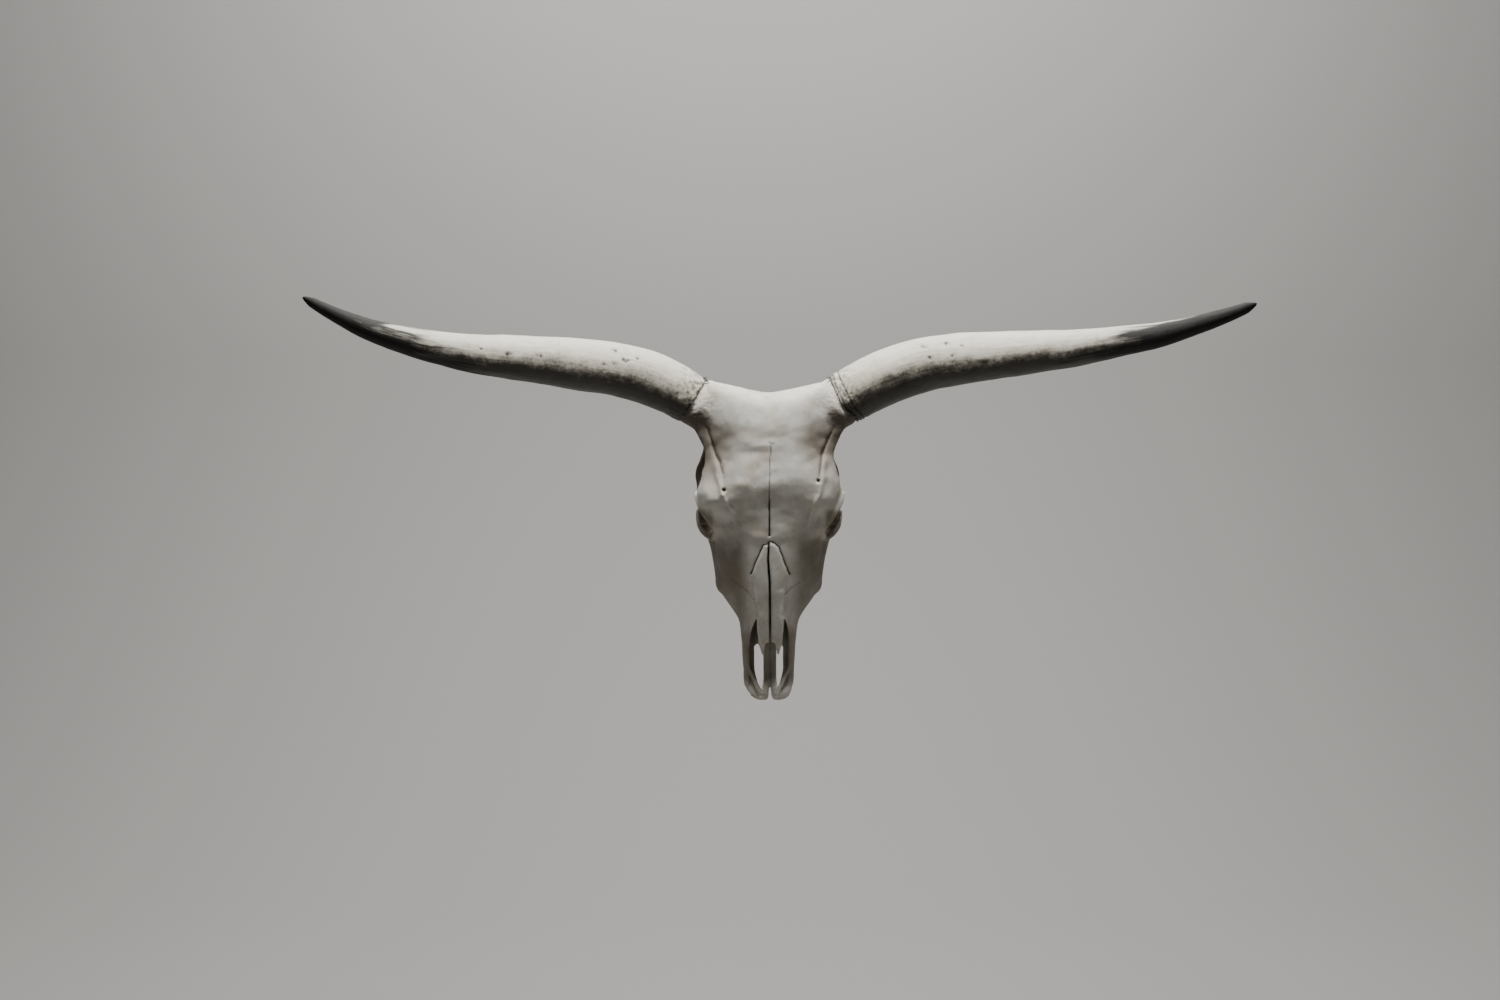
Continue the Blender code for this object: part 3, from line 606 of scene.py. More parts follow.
def end_finish(material: bpy.types.Material, colour: Wire, roughness: Wire, normal: Wire) -> None:
    """Link what a material's shader shows."""
    tree = material.node_tree
    shader = tree.nodes["Principled BSDF"]
    for name, wire in (("Base Color", colour), ("Roughness", roughness), ("Normal", normal)):
        tree.links.new(wire.socket, shader.inputs[name])


def mesh_object(name: str, points: np.ndarray, faces: list | np.ndarray) -> bpy.types.Object:
    """Make a smooth-shaded object from points and faces."""
    mesh = bpy.data.meshes.new(name)
    mesh.from_pydata([tuple(point) for point in points], [], [tuple(face) for face in faces])
    mesh.shade_smooth()
    made = bpy.data.objects.new(name, mesh)
    bpy.context.scene.collection.objects.link(made)
    return made


def face_outward(mesh: bpy.types.Mesh) -> None:
    """Turn all faces of a closed mesh outwards."""
    shape = bmesh.new()
    shape.from_mesh(mesh)
    bmesh.ops.recalc_face_normals(shape, faces=shape.faces)
    shape.to_mesh(mesh)
    shape.free()


def vertex_table(mesh: bpy.types.Mesh) -> tuple[np.ndarray, np.ndarray]:
    """The places and the normals of a mesh's vertices."""
    places = np.empty(len(mesh.vertices) * 3)
    mesh.vertices.foreach_get("co", places)
    normals = np.empty(len(mesh.vertices) * 3, np.float32)
    mesh.vertex_normals.foreach_get("vector", normals)
    return places.reshape(-1, 3), normals.reshape(-1, 3).astype(float)


def store(mesh: bpy.types.Mesh, name: str, values: np.ndarray) -> None:
    """Keep one number for each vertex under a name that materials can read."""
    layer = mesh.attributes.new(name, "FLOAT", "POINT")
    layer.data.foreach_set("value", np.asarray(values, np.float32))


def settle(piece: bpy.types.Object, slot: str, material: bpy.types.Material, *nodes: str) -> None:
    """Finish a piece: its material, its place in the frame and the CAD nodes it stands for."""
    piece.data.materials.clear()
    piece.data.materials.append(material)
    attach(piece, ROOT)
    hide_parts(*nodes)
    LOG.info("%s: %d faces", piece.name, len(piece.data.polygons))


def evaluated_copy(source: bpy.types.Object, name: str) -> bpy.types.Object:
    """A plain mesh object with a source object's modifiers worked in, after which the source goes."""
    graph = bpy.context.evaluated_depsgraph_get()
    mesh = bpy.data.meshes.new_from_object(source.evaluated_get(graph))
    mesh.name = name
    bpy.data.objects.remove(source)
    made = bpy.data.objects.new(name, mesh)
    bpy.context.scene.collection.objects.link(made)
    return made


# Finishes


@dataclass(frozen=True)
class BleachedBone:
    """Cattle bone, boiled and sun-bleached: dry and chalky, with stained seams and open pores.

    The lost fat leaves it matt. Real pores are 0.1 to 0.3 mm, and are drawn coarser so that they show.
    """

    pale: str = "EAE6DC"
    warm: str = "D6CAB4"
    grey: str = "B7B0A4"
    dirt: str = "7C6C58"
    shade: str = "5A4E40"
    seam: str = "2E261F"
    patch_size: float = 0.016
    streak_size: float = 0.0045
    dash_size: float = 0.0013
    dash_stretch: Row = (0.4, 0.6, 1.0)
    pore_size: float = 0.0011
    streak_rise: float = 0.0003
    dash_rise: float = -0.00018
    pore_rise: float = 0.00003
    roughness: float = 0.80

    def make(self) -> bpy.types.Material:
        """The bone's material."""
        material, graph, place = start_finish("bone_bleached_dry")
        add = graph.add
        flank_stain_and_shade, neck_underside_shade, crust, crease, inner, seam = (add(Kind.FACT, attribute_name=name) for name in (
            "flank_stain_and_shade", "neck_underside_shade", "crust", "crease", "inner", "seam"))
        patches, streaks, dashes = (
            add(Kind.NOISE, where, NOISE_PITCH / size, detail, rough) for where, size, detail, rough in (
                (place, self.patch_size, 5.0, 0.6), (place, self.streak_size, 6.0, 0.65),
                (place * self.dash_stretch, self.dash_size, 3.0, 0.55)))
        dashes = crust * add(Kind.CLIMB, dashes, 0.50, 0.62, 1.0)
        colour = linear(self.pale)
        # Tones, stains and painted shade: the flanks are part stain, part painted shade; the bone below the
        # horns, the creases and the hollows' walls are painted shade
        for share, over in (
                (add(Kind.CLIMB, patches, 0.42, 0.72, 0.8), self.warm),
                (add(Kind.CLIMB, streaks, 0.50, 0.80, 0.6), self.grey),
                (flank_stain_and_shade * add(Kind.CLIMB, patches, 0.05, 0.50, 0.66), self.dirt),
                (neck_underside_shade * add(Kind.CLIMB, patches, -0.40, 0.50, 0.84), self.shade),
                (dashes * 0.20, self.dirt), (crease * 0.62, self.dirt), (inner * 0.86, self.shade),
                (seam, self.seam)):
            colour = add(Kind.TINT, share, colour, linear(over))
        pores = add(Kind.CLIMB, add(Kind.CELLS, place, 1 / self.pore_size), 0.0, 0.45, 1.0)
        relief = None
        for height, rise in ((streaks, self.streak_rise), (dashes, self.dash_rise), (pores, self.pore_rise)):
            relief = add(Kind.BUMP, 1.0, rise, height, relief)
        end_finish(material, colour, streaks * 0.16 + (self.roughness - 0.08), relief)
        return material


@dataclass(frozen=True)
class WeatheredHorn:
    """Keratin grown in layers, sun-worn: ivory with grain along it, dirt and painted shade below and a
    blackish tip.

    It keeps a soft sheen, but is matt at the worn tip. Real fibres are finer than 0.2 mm, and are drawn
    coarser so that they show.
    """

    tip_solid: float
    tip_fade: float
    ivory: str = "E6DFCE"
    buff: str = "B3A386"
    umber: str = "271F17"
    lit_slate: str = "171513"
    black: str = "0F0D0B"
    grain_stretch: Row = (0.07, 1.0, 1.0)
    grain_size: float = 0.0014
    broad_size: float = 0.0045
    mottle_size: float = 0.0060
    patch_size: float = 0.024
    speck_size: float = 0.0018
    granule_size: float = 0.0030
    crust_reach: float = 0.048
    crust_full: float = 0.004
    fibre_rise: float = 0.00035
    mottle_rise: float = 0.0006
    speck_rise: float = 0.00018
    granule_rise: float = 0.0010
    roughness: float = 0.50

    def make(self, name: str) -> bpy.types.Material:
        """The sheath's material.

        Args:
            name: The side's word, as each horn's tip is dark for a length of its own.

        Returns:
            The material.
        """
        material, graph, place = start_finish(f"horn_keratin_weathered_{name}")
        add = graph.add
        run, rest, under, groove, pit, grain = (add(Kind.FACT, attribute_name=word) for word in (
            "run", "rest", "under", "groove", "pit", "grain"))
        long_place = grain["Vector"] * self.grain_stretch
        fibres, broad, mottle, patches, specks, granules = (
            add(Kind.NOISE, where, NOISE_PITCH / size, detail, rough) for where, size, detail, rough in (
                (long_place, self.grain_size, 4.0, 0.6), (long_place, self.broad_size, 5.0, 0.6),
                (place, self.mottle_size, 6.0, 0.68), (place, self.patch_size, 4.0, 0.55),
                (place, self.speck_size, 3.0, 0.7), (place, self.granule_size, 4.0, 0.7)))

        # The lower side darkens with a ragged edge, partly dirt and partly painted shade, and the crust by
        # the rim is mottled
        dirt = under
        for noise, sway in ((mottle, 0.6), (patches, 0.6), (broad, 0.7), (specks, 0.5)):
            dirt = dirt + (noise - 0.5) * sway
        crust = add(Kind.CLIMB, run + (patches - 0.5) * 0.05, self.crust_reach, self.crust_full, 1.0)
        spots = add(Kind.CLIMB, granules, 0.44, 0.62, 0.42) + add(Kind.CLIMB, mottle, 0.40, 0.60, 0.26)
        edge = run + (specks - 0.5) * 0.010

        # The last row is rare specks, and the one before it is the pits' dark bottoms
        colour = linear(self.ivory)
        for share, over in (
                (add(Kind.CLIMB, mottle, 0.46, 0.78, 0.50), self.buff),
                (add(Kind.CLIMB, fibres, 0.52, 0.80, 0.28), self.buff),
                (add(Kind.CLIMB, dirt, -0.26, 0.44, 0.60), self.umber),
                (add(Kind.CLIMB, dirt, 0.08, 0.58, 0.90), self.umber),
                (crust * spots, self.umber),
                (add(Kind.CLIMB, edge, 0.0036, 0.0002, 0.85), self.umber),
                (groove * add(Kind.CLIMB, specks, 0.34, 0.52, 0.75), self.umber),
                (pit * add(Kind.CLIMB, specks, 0.26, 0.42, 0.92), self.umber),
                (add(Kind.CLIMB, patches, 0.46, 0.60, 1.0) * add(Kind.CLIMB, specks, 0.64, 0.74, 0.7),
                 self.umber)):
            colour = add(Kind.TINT, share, colour, linear(over))

        # The tip darkens in streaks, slate above as a painted sheen and black below as painted shade
        tip = rest + ((broad - 0.5) * 0.42 - under * 0.045)
        tip = add(Kind.CLIMB, tip, self.tip_fade, self.tip_solid, 0.97)
        tip_underside_shade = add(Kind.CLIMB, under, -0.5, 0.5, 1.0)
        colour = add(Kind.TINT, tip, colour, add(Kind.TINT, tip_underside_shade, linear(self.lit_slate), linear(self.black)))
        relief = None
        for height, rise in ((fibres, self.fibre_rise), (mottle, self.mottle_rise),
                             (specks, self.speck_rise), (granules * crust, self.granule_rise)):
            relief = add(Kind.BUMP, 1.0, rise, height, relief)
        end_finish(material, colour, fibres * 0.24 + (self.roughness - 0.12) + tip * 0.24, relief)
        return material


@dataclass(frozen=True)
class StainedEnamel:
    """Cattle tooth enamel, worn and stained: cream crowns with brown streaks towards the gum.

    It is the hardest and smoothest surface of the skull, so it shines more than the bone round it.
    """

    cream: str = "DDD2BA"
    stain: str = "7A5E40"
    pit: str = "2A1F17"
    streak_stretch: Row = (1.0, 0.22, 1.0)
    streak_size: float = 0.0018
    streak_rise: float = 0.0002
    roughness: float = 0.36

    def make(self) -> bpy.types.Material:
        """The teeth's material."""
        material, graph, place = start_finish("tooth_enamel_stained")
        add = graph.add
        streaks = add(Kind.NOISE, place * self.streak_stretch, NOISE_PITCH / self.streak_size, 5.0, 0.6)
        colour = linear(self.cream)
        for share, over in ((add(Kind.CLIMB, streaks, 0.42, 0.74, 0.75), self.stain),
                            (add(Kind.FACT, attribute_name="hollow"), self.pit)):
            colour = add(Kind.TINT, share, colour, linear(over))
        gloss = streaks * 0.28 + (self.roughness - 0.08)
        end_finish(material, colour, gloss, add(Kind.BUMP, 1.0, self.streak_rise, streaks))
        return material


@dataclass(frozen=True)
class GalvanisedSteel:
    """Hot-dip galvanised strip, pressed: a dull blue-grey skin with faint crystal spangle."""

    light: str = "B4B8BB"
    dark: str = "8B9094"
    spangle_size: float = 0.006
    scuff_size: float = 0.0011
    scuff_rise: float = 0.00005
    roughness: float = 0.42

    def make(self) -> bpy.types.Material:
        """The hanger's material."""
        material, graph, place = start_finish("steel_galvanised_strip")
        add = graph.add
        material.node_tree.nodes["Principled BSDF"].inputs["Metallic"].default_value = 1.0
        spangle = add(Kind.COLOUR_PARTS, add(Kind.CELLS, place, 1 / self.spangle_size)["Color"])
        colour = add(Kind.TINT, spangle, linear(self.light), linear(self.dark))
        scuff = add(Kind.NOISE, place, NOISE_PITCH / self.scuff_size, 4.0, 0.55)
        gloss = scuff * 0.30 + (self.roughness - 0.12)
        end_finish(material, colour, gloss, add(Kind.BUMP, 1.0, self.scuff_rise, scuff))
        return material


# The horns


@dataclass
class HornSheath:
    """One keratin sheath, hollow at its root, with a crusted, frayed rim and pits on its front."""

    side: Side
    line: Rows
    seed: int
    groove_depth: float
    groove_runs: tuple[float, float]
    pits: Rows
    flakes: float
    wall: float = 0.0052
    rim_share: float = 0.35
    thin_reach: float = 0.014
    pocket_depth: float = 0.135
    pocket_taper: float = 0.55
    lip: float = 0.0006
    crust: float = 0.0030
    crust_reach: float = 0.045
    ragged: float = 0.0090
    flake_length: float = 0.0060
    rows: int = 440
    sides: int = 150
    pocket_share: float = 0.10
    groove_half: float = 0.0013
    lip_fade: float = 0.0018
    least_wall: float = 0.0006
    tip_cap: float = 0.016
    pocket_cap: float = 0.004
    rim_fade: float = 0.010
    rim_band: float = 0.0008
    lump_rise: float = 0.0036
    flute_rise: float = 0.0012
    pit_depth: float = 0.0008
    weld: float = 0.000004
    flake_shape: Row = (1.0, 1.1, 0.10)
    flake_cuts: tuple[int, int] = (9, 3)
    flake_bow: float = 0.95
    flake_bend: float = 0.95
    flake_point: float = 0.80
    flake_top: float = 0.70
    flake_stray: float = 0.6
    flake_sizes: tuple[float, float] = (0.6, 1.2)

    def frame_at(self, run: float) -> tuple[np.ndarray, np.ndarray, float]:
        """The centre, the direction and the radius at a running length from the rim."""
        table = smooth_rows(self.line, CURVE_STEPS)
        places = np.stack((table[:, 0], -table[:, 1], table[:, 2]), axis=1)
        runs = np.concatenate(([0.0], np.cumsum(np.linalg.norm(np.diff(places, axis=0), axis=1))))
        inside = max(run, 0.0)
        near = np.array([np.interp(inside + shift, runs, places[:, axis])
                         for shift in (0.0, 0.004) for axis in range(3)]).reshape(2, 3)
        tangent = unit(near[1] - near[0])
        radius = float(np.interp(inside, runs, table[:, 3]))
        return near[0] + tangent * min(run, 0.0), tangent, radius

    def rings(self, rows: tuple[tuple[float, float], ...]) -> Solid:
        """A round solid on this horn's line from (running length, radius) rows."""
        up = np.array((0.0, 0.0, 1.0))
        found = []
        for run, radius in rows:
            centre, tangent, _ = self.frame_at(run)
            first = unit(up - tangent * up.dot(tangent))
            found.append(section(centre, first, np.cross(tangent, first), radius, radius, LOFT_SIDES))
        return Solid.from_rings(np.array(found))

    def pocket_radius(self, run: float) -> float:
        """Radius of the blind pocket that the bony core fills."""
        share = max(run, 0.0) / self.pocket_depth
        wall = self.wall * min(max(run, 0.0) / self.thin_reach + self.rim_share, 1.0)
        return (self.frame_at(run)[2] - wall) * (1.0 - self.pocket_taper * share ** 2.0)

    def centre_curve(self) -> bpy.types.Object:
        """The horn's middle line as a curve whose radius is the horn's."""
        table = smooth_rows(self.line, CURVE_STEPS)
        curve = bpy.data.curves.new(f"horn_line_{self.side.word}", "CURVE")
        curve.dimensions = "3D"
        spline = curve.splines.new("POLY")
        spline.points.add(len(table) - 1)
        for point, (x, depth, z, radius) in zip(spline.points, table):
            point.co = (x, -depth, z, 1.0)
            point.radius = radius
        made = bpy.data.objects.new(f"horn_line_{self.side.word}", curve)
        bpy.context.scene.collection.objects.link(made)
        return made

    def sizes(self) -> dict[str, float]:
        """The value of each named input of the node tree."""
        return {
            "Seed": float(self.seed), "Wall": self.wall, "Pocket Depth": self.pocket_depth,
            "Pocket Taper": self.pocket_taper, "Groove Depth": self.groove_depth,
            "First Groove": self.groove_runs[0], "Second Groove": self.groove_runs[1], "Lip": self.lip,
            "Crust": self.crust, "Crust Reach": self.crust_reach, "Ragged": self.ragged,
            "Flakes": self.flakes, "Flake Length": self.flake_length}

    def add_flakes(self, graph: Graph, given: Wire, sheath: Wire) -> Wire:
        """Add the bowed flakes on the upper rim, each narrow at one end.

        Args:
            graph: The builder for the tree.
            given: The tree's inputs.
            sheath: The sheath, with its facts kept.

        Returns:
            The flakes.
        """
        add = graph.add
        chip_place = add(Kind.SPLIT, add(Kind.PLACE))
        turn = chip_place[0] + 0.5
        bow = chip_place[2] + self.flake_bow
        bend = turn * self.flake_bend
        curl = add(Kind.COMBINE, self.flake_bow - bow * add("COSINE", bend),
                   chip_place[1] * (1.0 - turn * self.flake_point), bow * add("SINE", bend))
        chip = add(Kind.MOVE, add(Kind.BLOCK, self.flake_shape, *self.flake_cuts), curl)
        top = add("LESS_THAN", add(Kind.KEPT, "under"), -self.flake_top)
        chosen = add("LESS_THAN", add(Kind.CHANCE, 0.0, 1.0, self.seed), given["Flakes"])
        picked = add("GREATER_THAN", add(Kind.KEPT, "rim") * top * chosen, 0.5)
        stray = add(Kind.CHANCES, (-self.flake_stray,) * 3, (self.flake_stray,) * 3, self.seed + 1)
        facing = add(Kind.FACING, add(Kind.KEPT, "spoke", data_type="FLOAT_VECTOR") + stray)
        low, high = self.flake_sizes
        size = add(Kind.CHANCES, (low,) * 3, (high,) * 3, self.seed + 2) * given["Flake Length"]
        return add(Kind.SCATTER, sheath, picked, chip, facing, size)

    def tree(self, material: bpy.types.Material) -> bpy.types.NodeTree:
        """Build the node tree that skins the horn's line.

        Args:
            material: The sheath's finish.

        Returns:
            The tree.
        """
        tree = bpy.data.node_groups.new(f"horn_skin_{self.side.word}", "GeometryNodeTree")
        tree.interface.new_socket("Geometry", in_out="INPUT", socket_type="NodeSocketGeometry")
        for name in self.sizes():
            tree.interface.new_socket(name, in_out="INPUT", socket_type="NodeSocketFloat")
        tree.interface.new_socket("Geometry", in_out="OUTPUT", socket_type="NodeSocketGeometry")
        graph = Graph(tree)
        add = graph.add
        given = add(Kind.GIVEN)

        def swing(where: Wire, size: float, detail: float, rough: float) -> Wire:
            """Noise from -0.5 to 0.5, with lumps of about the given size in metres."""
            return add(Kind.NOISE, where, NOISE_PITCH / size, detail, rough, given["Seed"]) - 0.5

        # A flat grid gives every vertex its share along the profile and round the horn
        sheet = add(Kind.GRID, 1.0, 1.0, self.rows, self.sides + 1)
        place = add(Kind.SPLIT, add(Kind.PLACE))
        along = place[0] + 0.5
        angle = (place[1] + 0.5) * math.tau
        cosine, sine = add("COSINE", angle), add("SINE", angle)
        in_pocket = add("LESS_THAN", along, self.pocket_share)
        length = add(Kind.LENGTH, given["Geometry"])
        deep = 1.0 - along / self.pocket_share
        out = add("MAXIMUM", (along - self.pocket_share) / (1.0 - self.pocket_share), 0.0)
        run = add(Kind.CHOOSE, in_pocket, length * add("POWER", out, 1.3), given["Pocket Depth"] * deep)
        run = add("MINIMUM", run, length * 0.9999)
        radius = add(Kind.SAMPLE, given["Geometry"], add(Kind.RADIUS), run)
        grain = add(Kind.COMBINE, run, cosine * radius, sine * radius)

        # Outside: crust and grooves by the rim, long flutes and soft lumps beyond
        fade = add("MAXIMUM", 1.0 - run / given["Crust Reach"], 0.0)
        crust = fade * given["Crust"] * (swing(grain, 0.0030, 4.0, 0.6) + swing(grain, 0.0080, 2.0, 0.5))
        lumps = swing(grain, 0.025, 2.0, 0.5) * self.lump_rise
        flutes = swing(grain * (0.09, 1.0, 1.0), 0.0030, 3.0, 0.6) * self.flute_rise
        wander = swing(grain, 0.012, 2.0, 0.5) * 0.008 + swing(grain, 0.0030, 3.0, 0.6) * 0.005
        aways = [(run + wander - given[name]) / self.groove_half
                 for name in ("First Groove", "Second Groove")]
        groove = sum(add("EXPONENT", away * away * -1.0) for away in aways)
        lip = given["Lip"] * add("EXPONENT", run * (-1 / self.lip_fade))
        relief = crust + lumps + flutes - groove * given["Groove Depth"]
        relief = relief * add("MINIMUM", radius / 0.02, 1.0)
        share = run / given["Pocket Depth"]
        thin = add("MINIMUM", run / self.thin_reach + self.rim_share, 1.0)
        inner = (radius - given["Wall"] * thin) * (1.0 - given["Pocket Taper"] * (share * share))
        outer = add("MAXIMUM", radius + relief - lip, inner + self.least_wall)
        tip = add("SQRT", add("MAXIMUM", (1.0 - along) * (1 / self.tip_cap), 0.0))
        blind = add("MINIMUM", along * (1 / self.pocket_cap), 1.0)
        reach = add(Kind.CHOOSE, in_pocket, outer, inner) * (add("MINIMUM", tip, 1.0) * blind)

        # The rim waves, and is torn in places
        torn = swing(grain, 0.011, 1.0, 0.5) + swing(grain, 0.0026, 3.0, 0.7) * 0.80
        torn = add("EXPONENT", run * (-1 / self.rim_fade)) * given["Ragged"] * torn
        tangent = radius["Tangent"]
        rise = add("DOT_PRODUCT", tangent, (0.0, 0.0, 1.0))["Value"]
        upright = add("NORMALIZE", (0.0, 0.0, 1.0) - tangent * rise)
        spoke = upright * cosine + add("CROSS_PRODUCT", tangent, upright) * sine
        target = radius["Position"] + (spoke * reach + tangent * torn)

        # Facts kept with the mesh, before the sheet is bent
        outside = 1.0 - in_pocket
        facts = {
            "run": run, "rest": length - run, "under": cosine * -1.0,
            "groove": groove * (outside * add("MINIMUM", given["Groove Depth"] * 1000.0, 1.0)),
            "rim": outside * add("LESS_THAN", run, self.rim_band)}
        bent = sheet
        for name, value in facts.items():
            bent = add(Kind.KEEP, bent, name, value)
        for name, value in (("grain", grain), ("spoke", spoke * 0.8 - tangent)):
            bent = add(Kind.KEEP, bent, name, value, data_type="FLOAT_VECTOR")
        welded = add(Kind.WELD, add(Kind.MOVE, bent, target), self.weld)
        real = add(Kind.REALIZE, add(Kind.JOIN, welded, self.add_flakes(graph, given, welded)))
        add(Kind.RESULT, add(Kind.SMOOTH, add(Kind.DRESS, real, material)))
        return tree

    def pit_share(self, points: np.ndarray) -> np.ndarray:
        """How deep in one of its pits each vertex lies, from 0 to 1.

        Args:
            points: The vertices' places.

        Returns:
            The share for each vertex.
        """
        share = np.zeros(len(points))
        sway = 0.0022 * cloud(points, 0.0030, 21)
        for x, z, radius in self.pits:
            away = np.hypot((points[:, 0] - x) / 1.5, points[:, 2] - z) + sway
            share = np.maximum(share, np.exp(-(np.maximum(away, 0.0) / radius) ** 2))
        axis = np.interp(np.abs(points[:, 0]), *np.abs(np.array(self.line))[:, :2].T)
        return share * (-points[:, 1] > axis)

    def build(self, finish: WeatheredHorn) -> bpy.types.Object:
        """Grow the sheath and put it in its place.

        Args:
            finish: The keratin's finish.

        Returns:
            The piece.
        """
        material = finish.make(self.side.word)
        source = self.centre_curve()
        tree, sizes = self.tree(material), self.sizes()
        modifier = source.modifiers.new("skin", "NODES")
        modifier.node_group = tree
        for item in tree.interface.items_tree:
            if item.in_out == "INPUT" and item.name in sizes:
                modifier[item.identifier] = sizes[item.name]
        piece = evaluated_copy(source, f"sheath_{self.side.word}")
        face_outward(piece.data)
        points, normals = vertex_table(piece.data)
        pits = self.pit_share(points)
        piece.data.vertices.foreach_set("co", (points - normals * self.pit_depth * pits[:, None]).ravel())
        store(piece.data, "pit", pits)
        settle(piece, "horn", material, f"horn_sheath_{self.side.word}")
        return piece


# The skull


@dataclass(frozen=True)
class Seam:
    """A suture, slit or groove traced on the front of the skull, in metres on the wall's plane."""

    trace: Trace
    half: float
    depth: float
    waver: float = 0.0
    stain: float = 1.0


@dataclass(frozen=True)
class Crest:
    """A ridge, or where its height is negative a groove, as rows of x, z, half width and height."""

    rows: Rows

    def heights(self, x: np.ndarray, z: np.ndarray) -> np.ndarray:
        """Its height at each point."""
        away, half, height = along_line(x, z, self.rows)
        return height * np.exp(-(away / np.maximum(half, 0.0005)) ** 2)


@dataclass(frozen=True)
class Swell:
    """A soft swelling, or where its height is negative a hollow, on both sides of the skull's front."""

    centre: tuple[float, float]
    radii: tuple[float, float]
    height: float

    def heights(self, x: np.ndarray, z: np.ndarray) -> np.ndarray:
        """Its height at each point."""
        across = (np.abs(x) - self.centre[0]) / self.radii[0]
        up = (z - self.centre[1]) / self.radii[1]
        return self.height * np.exp(-across ** 2 - up ** 2)


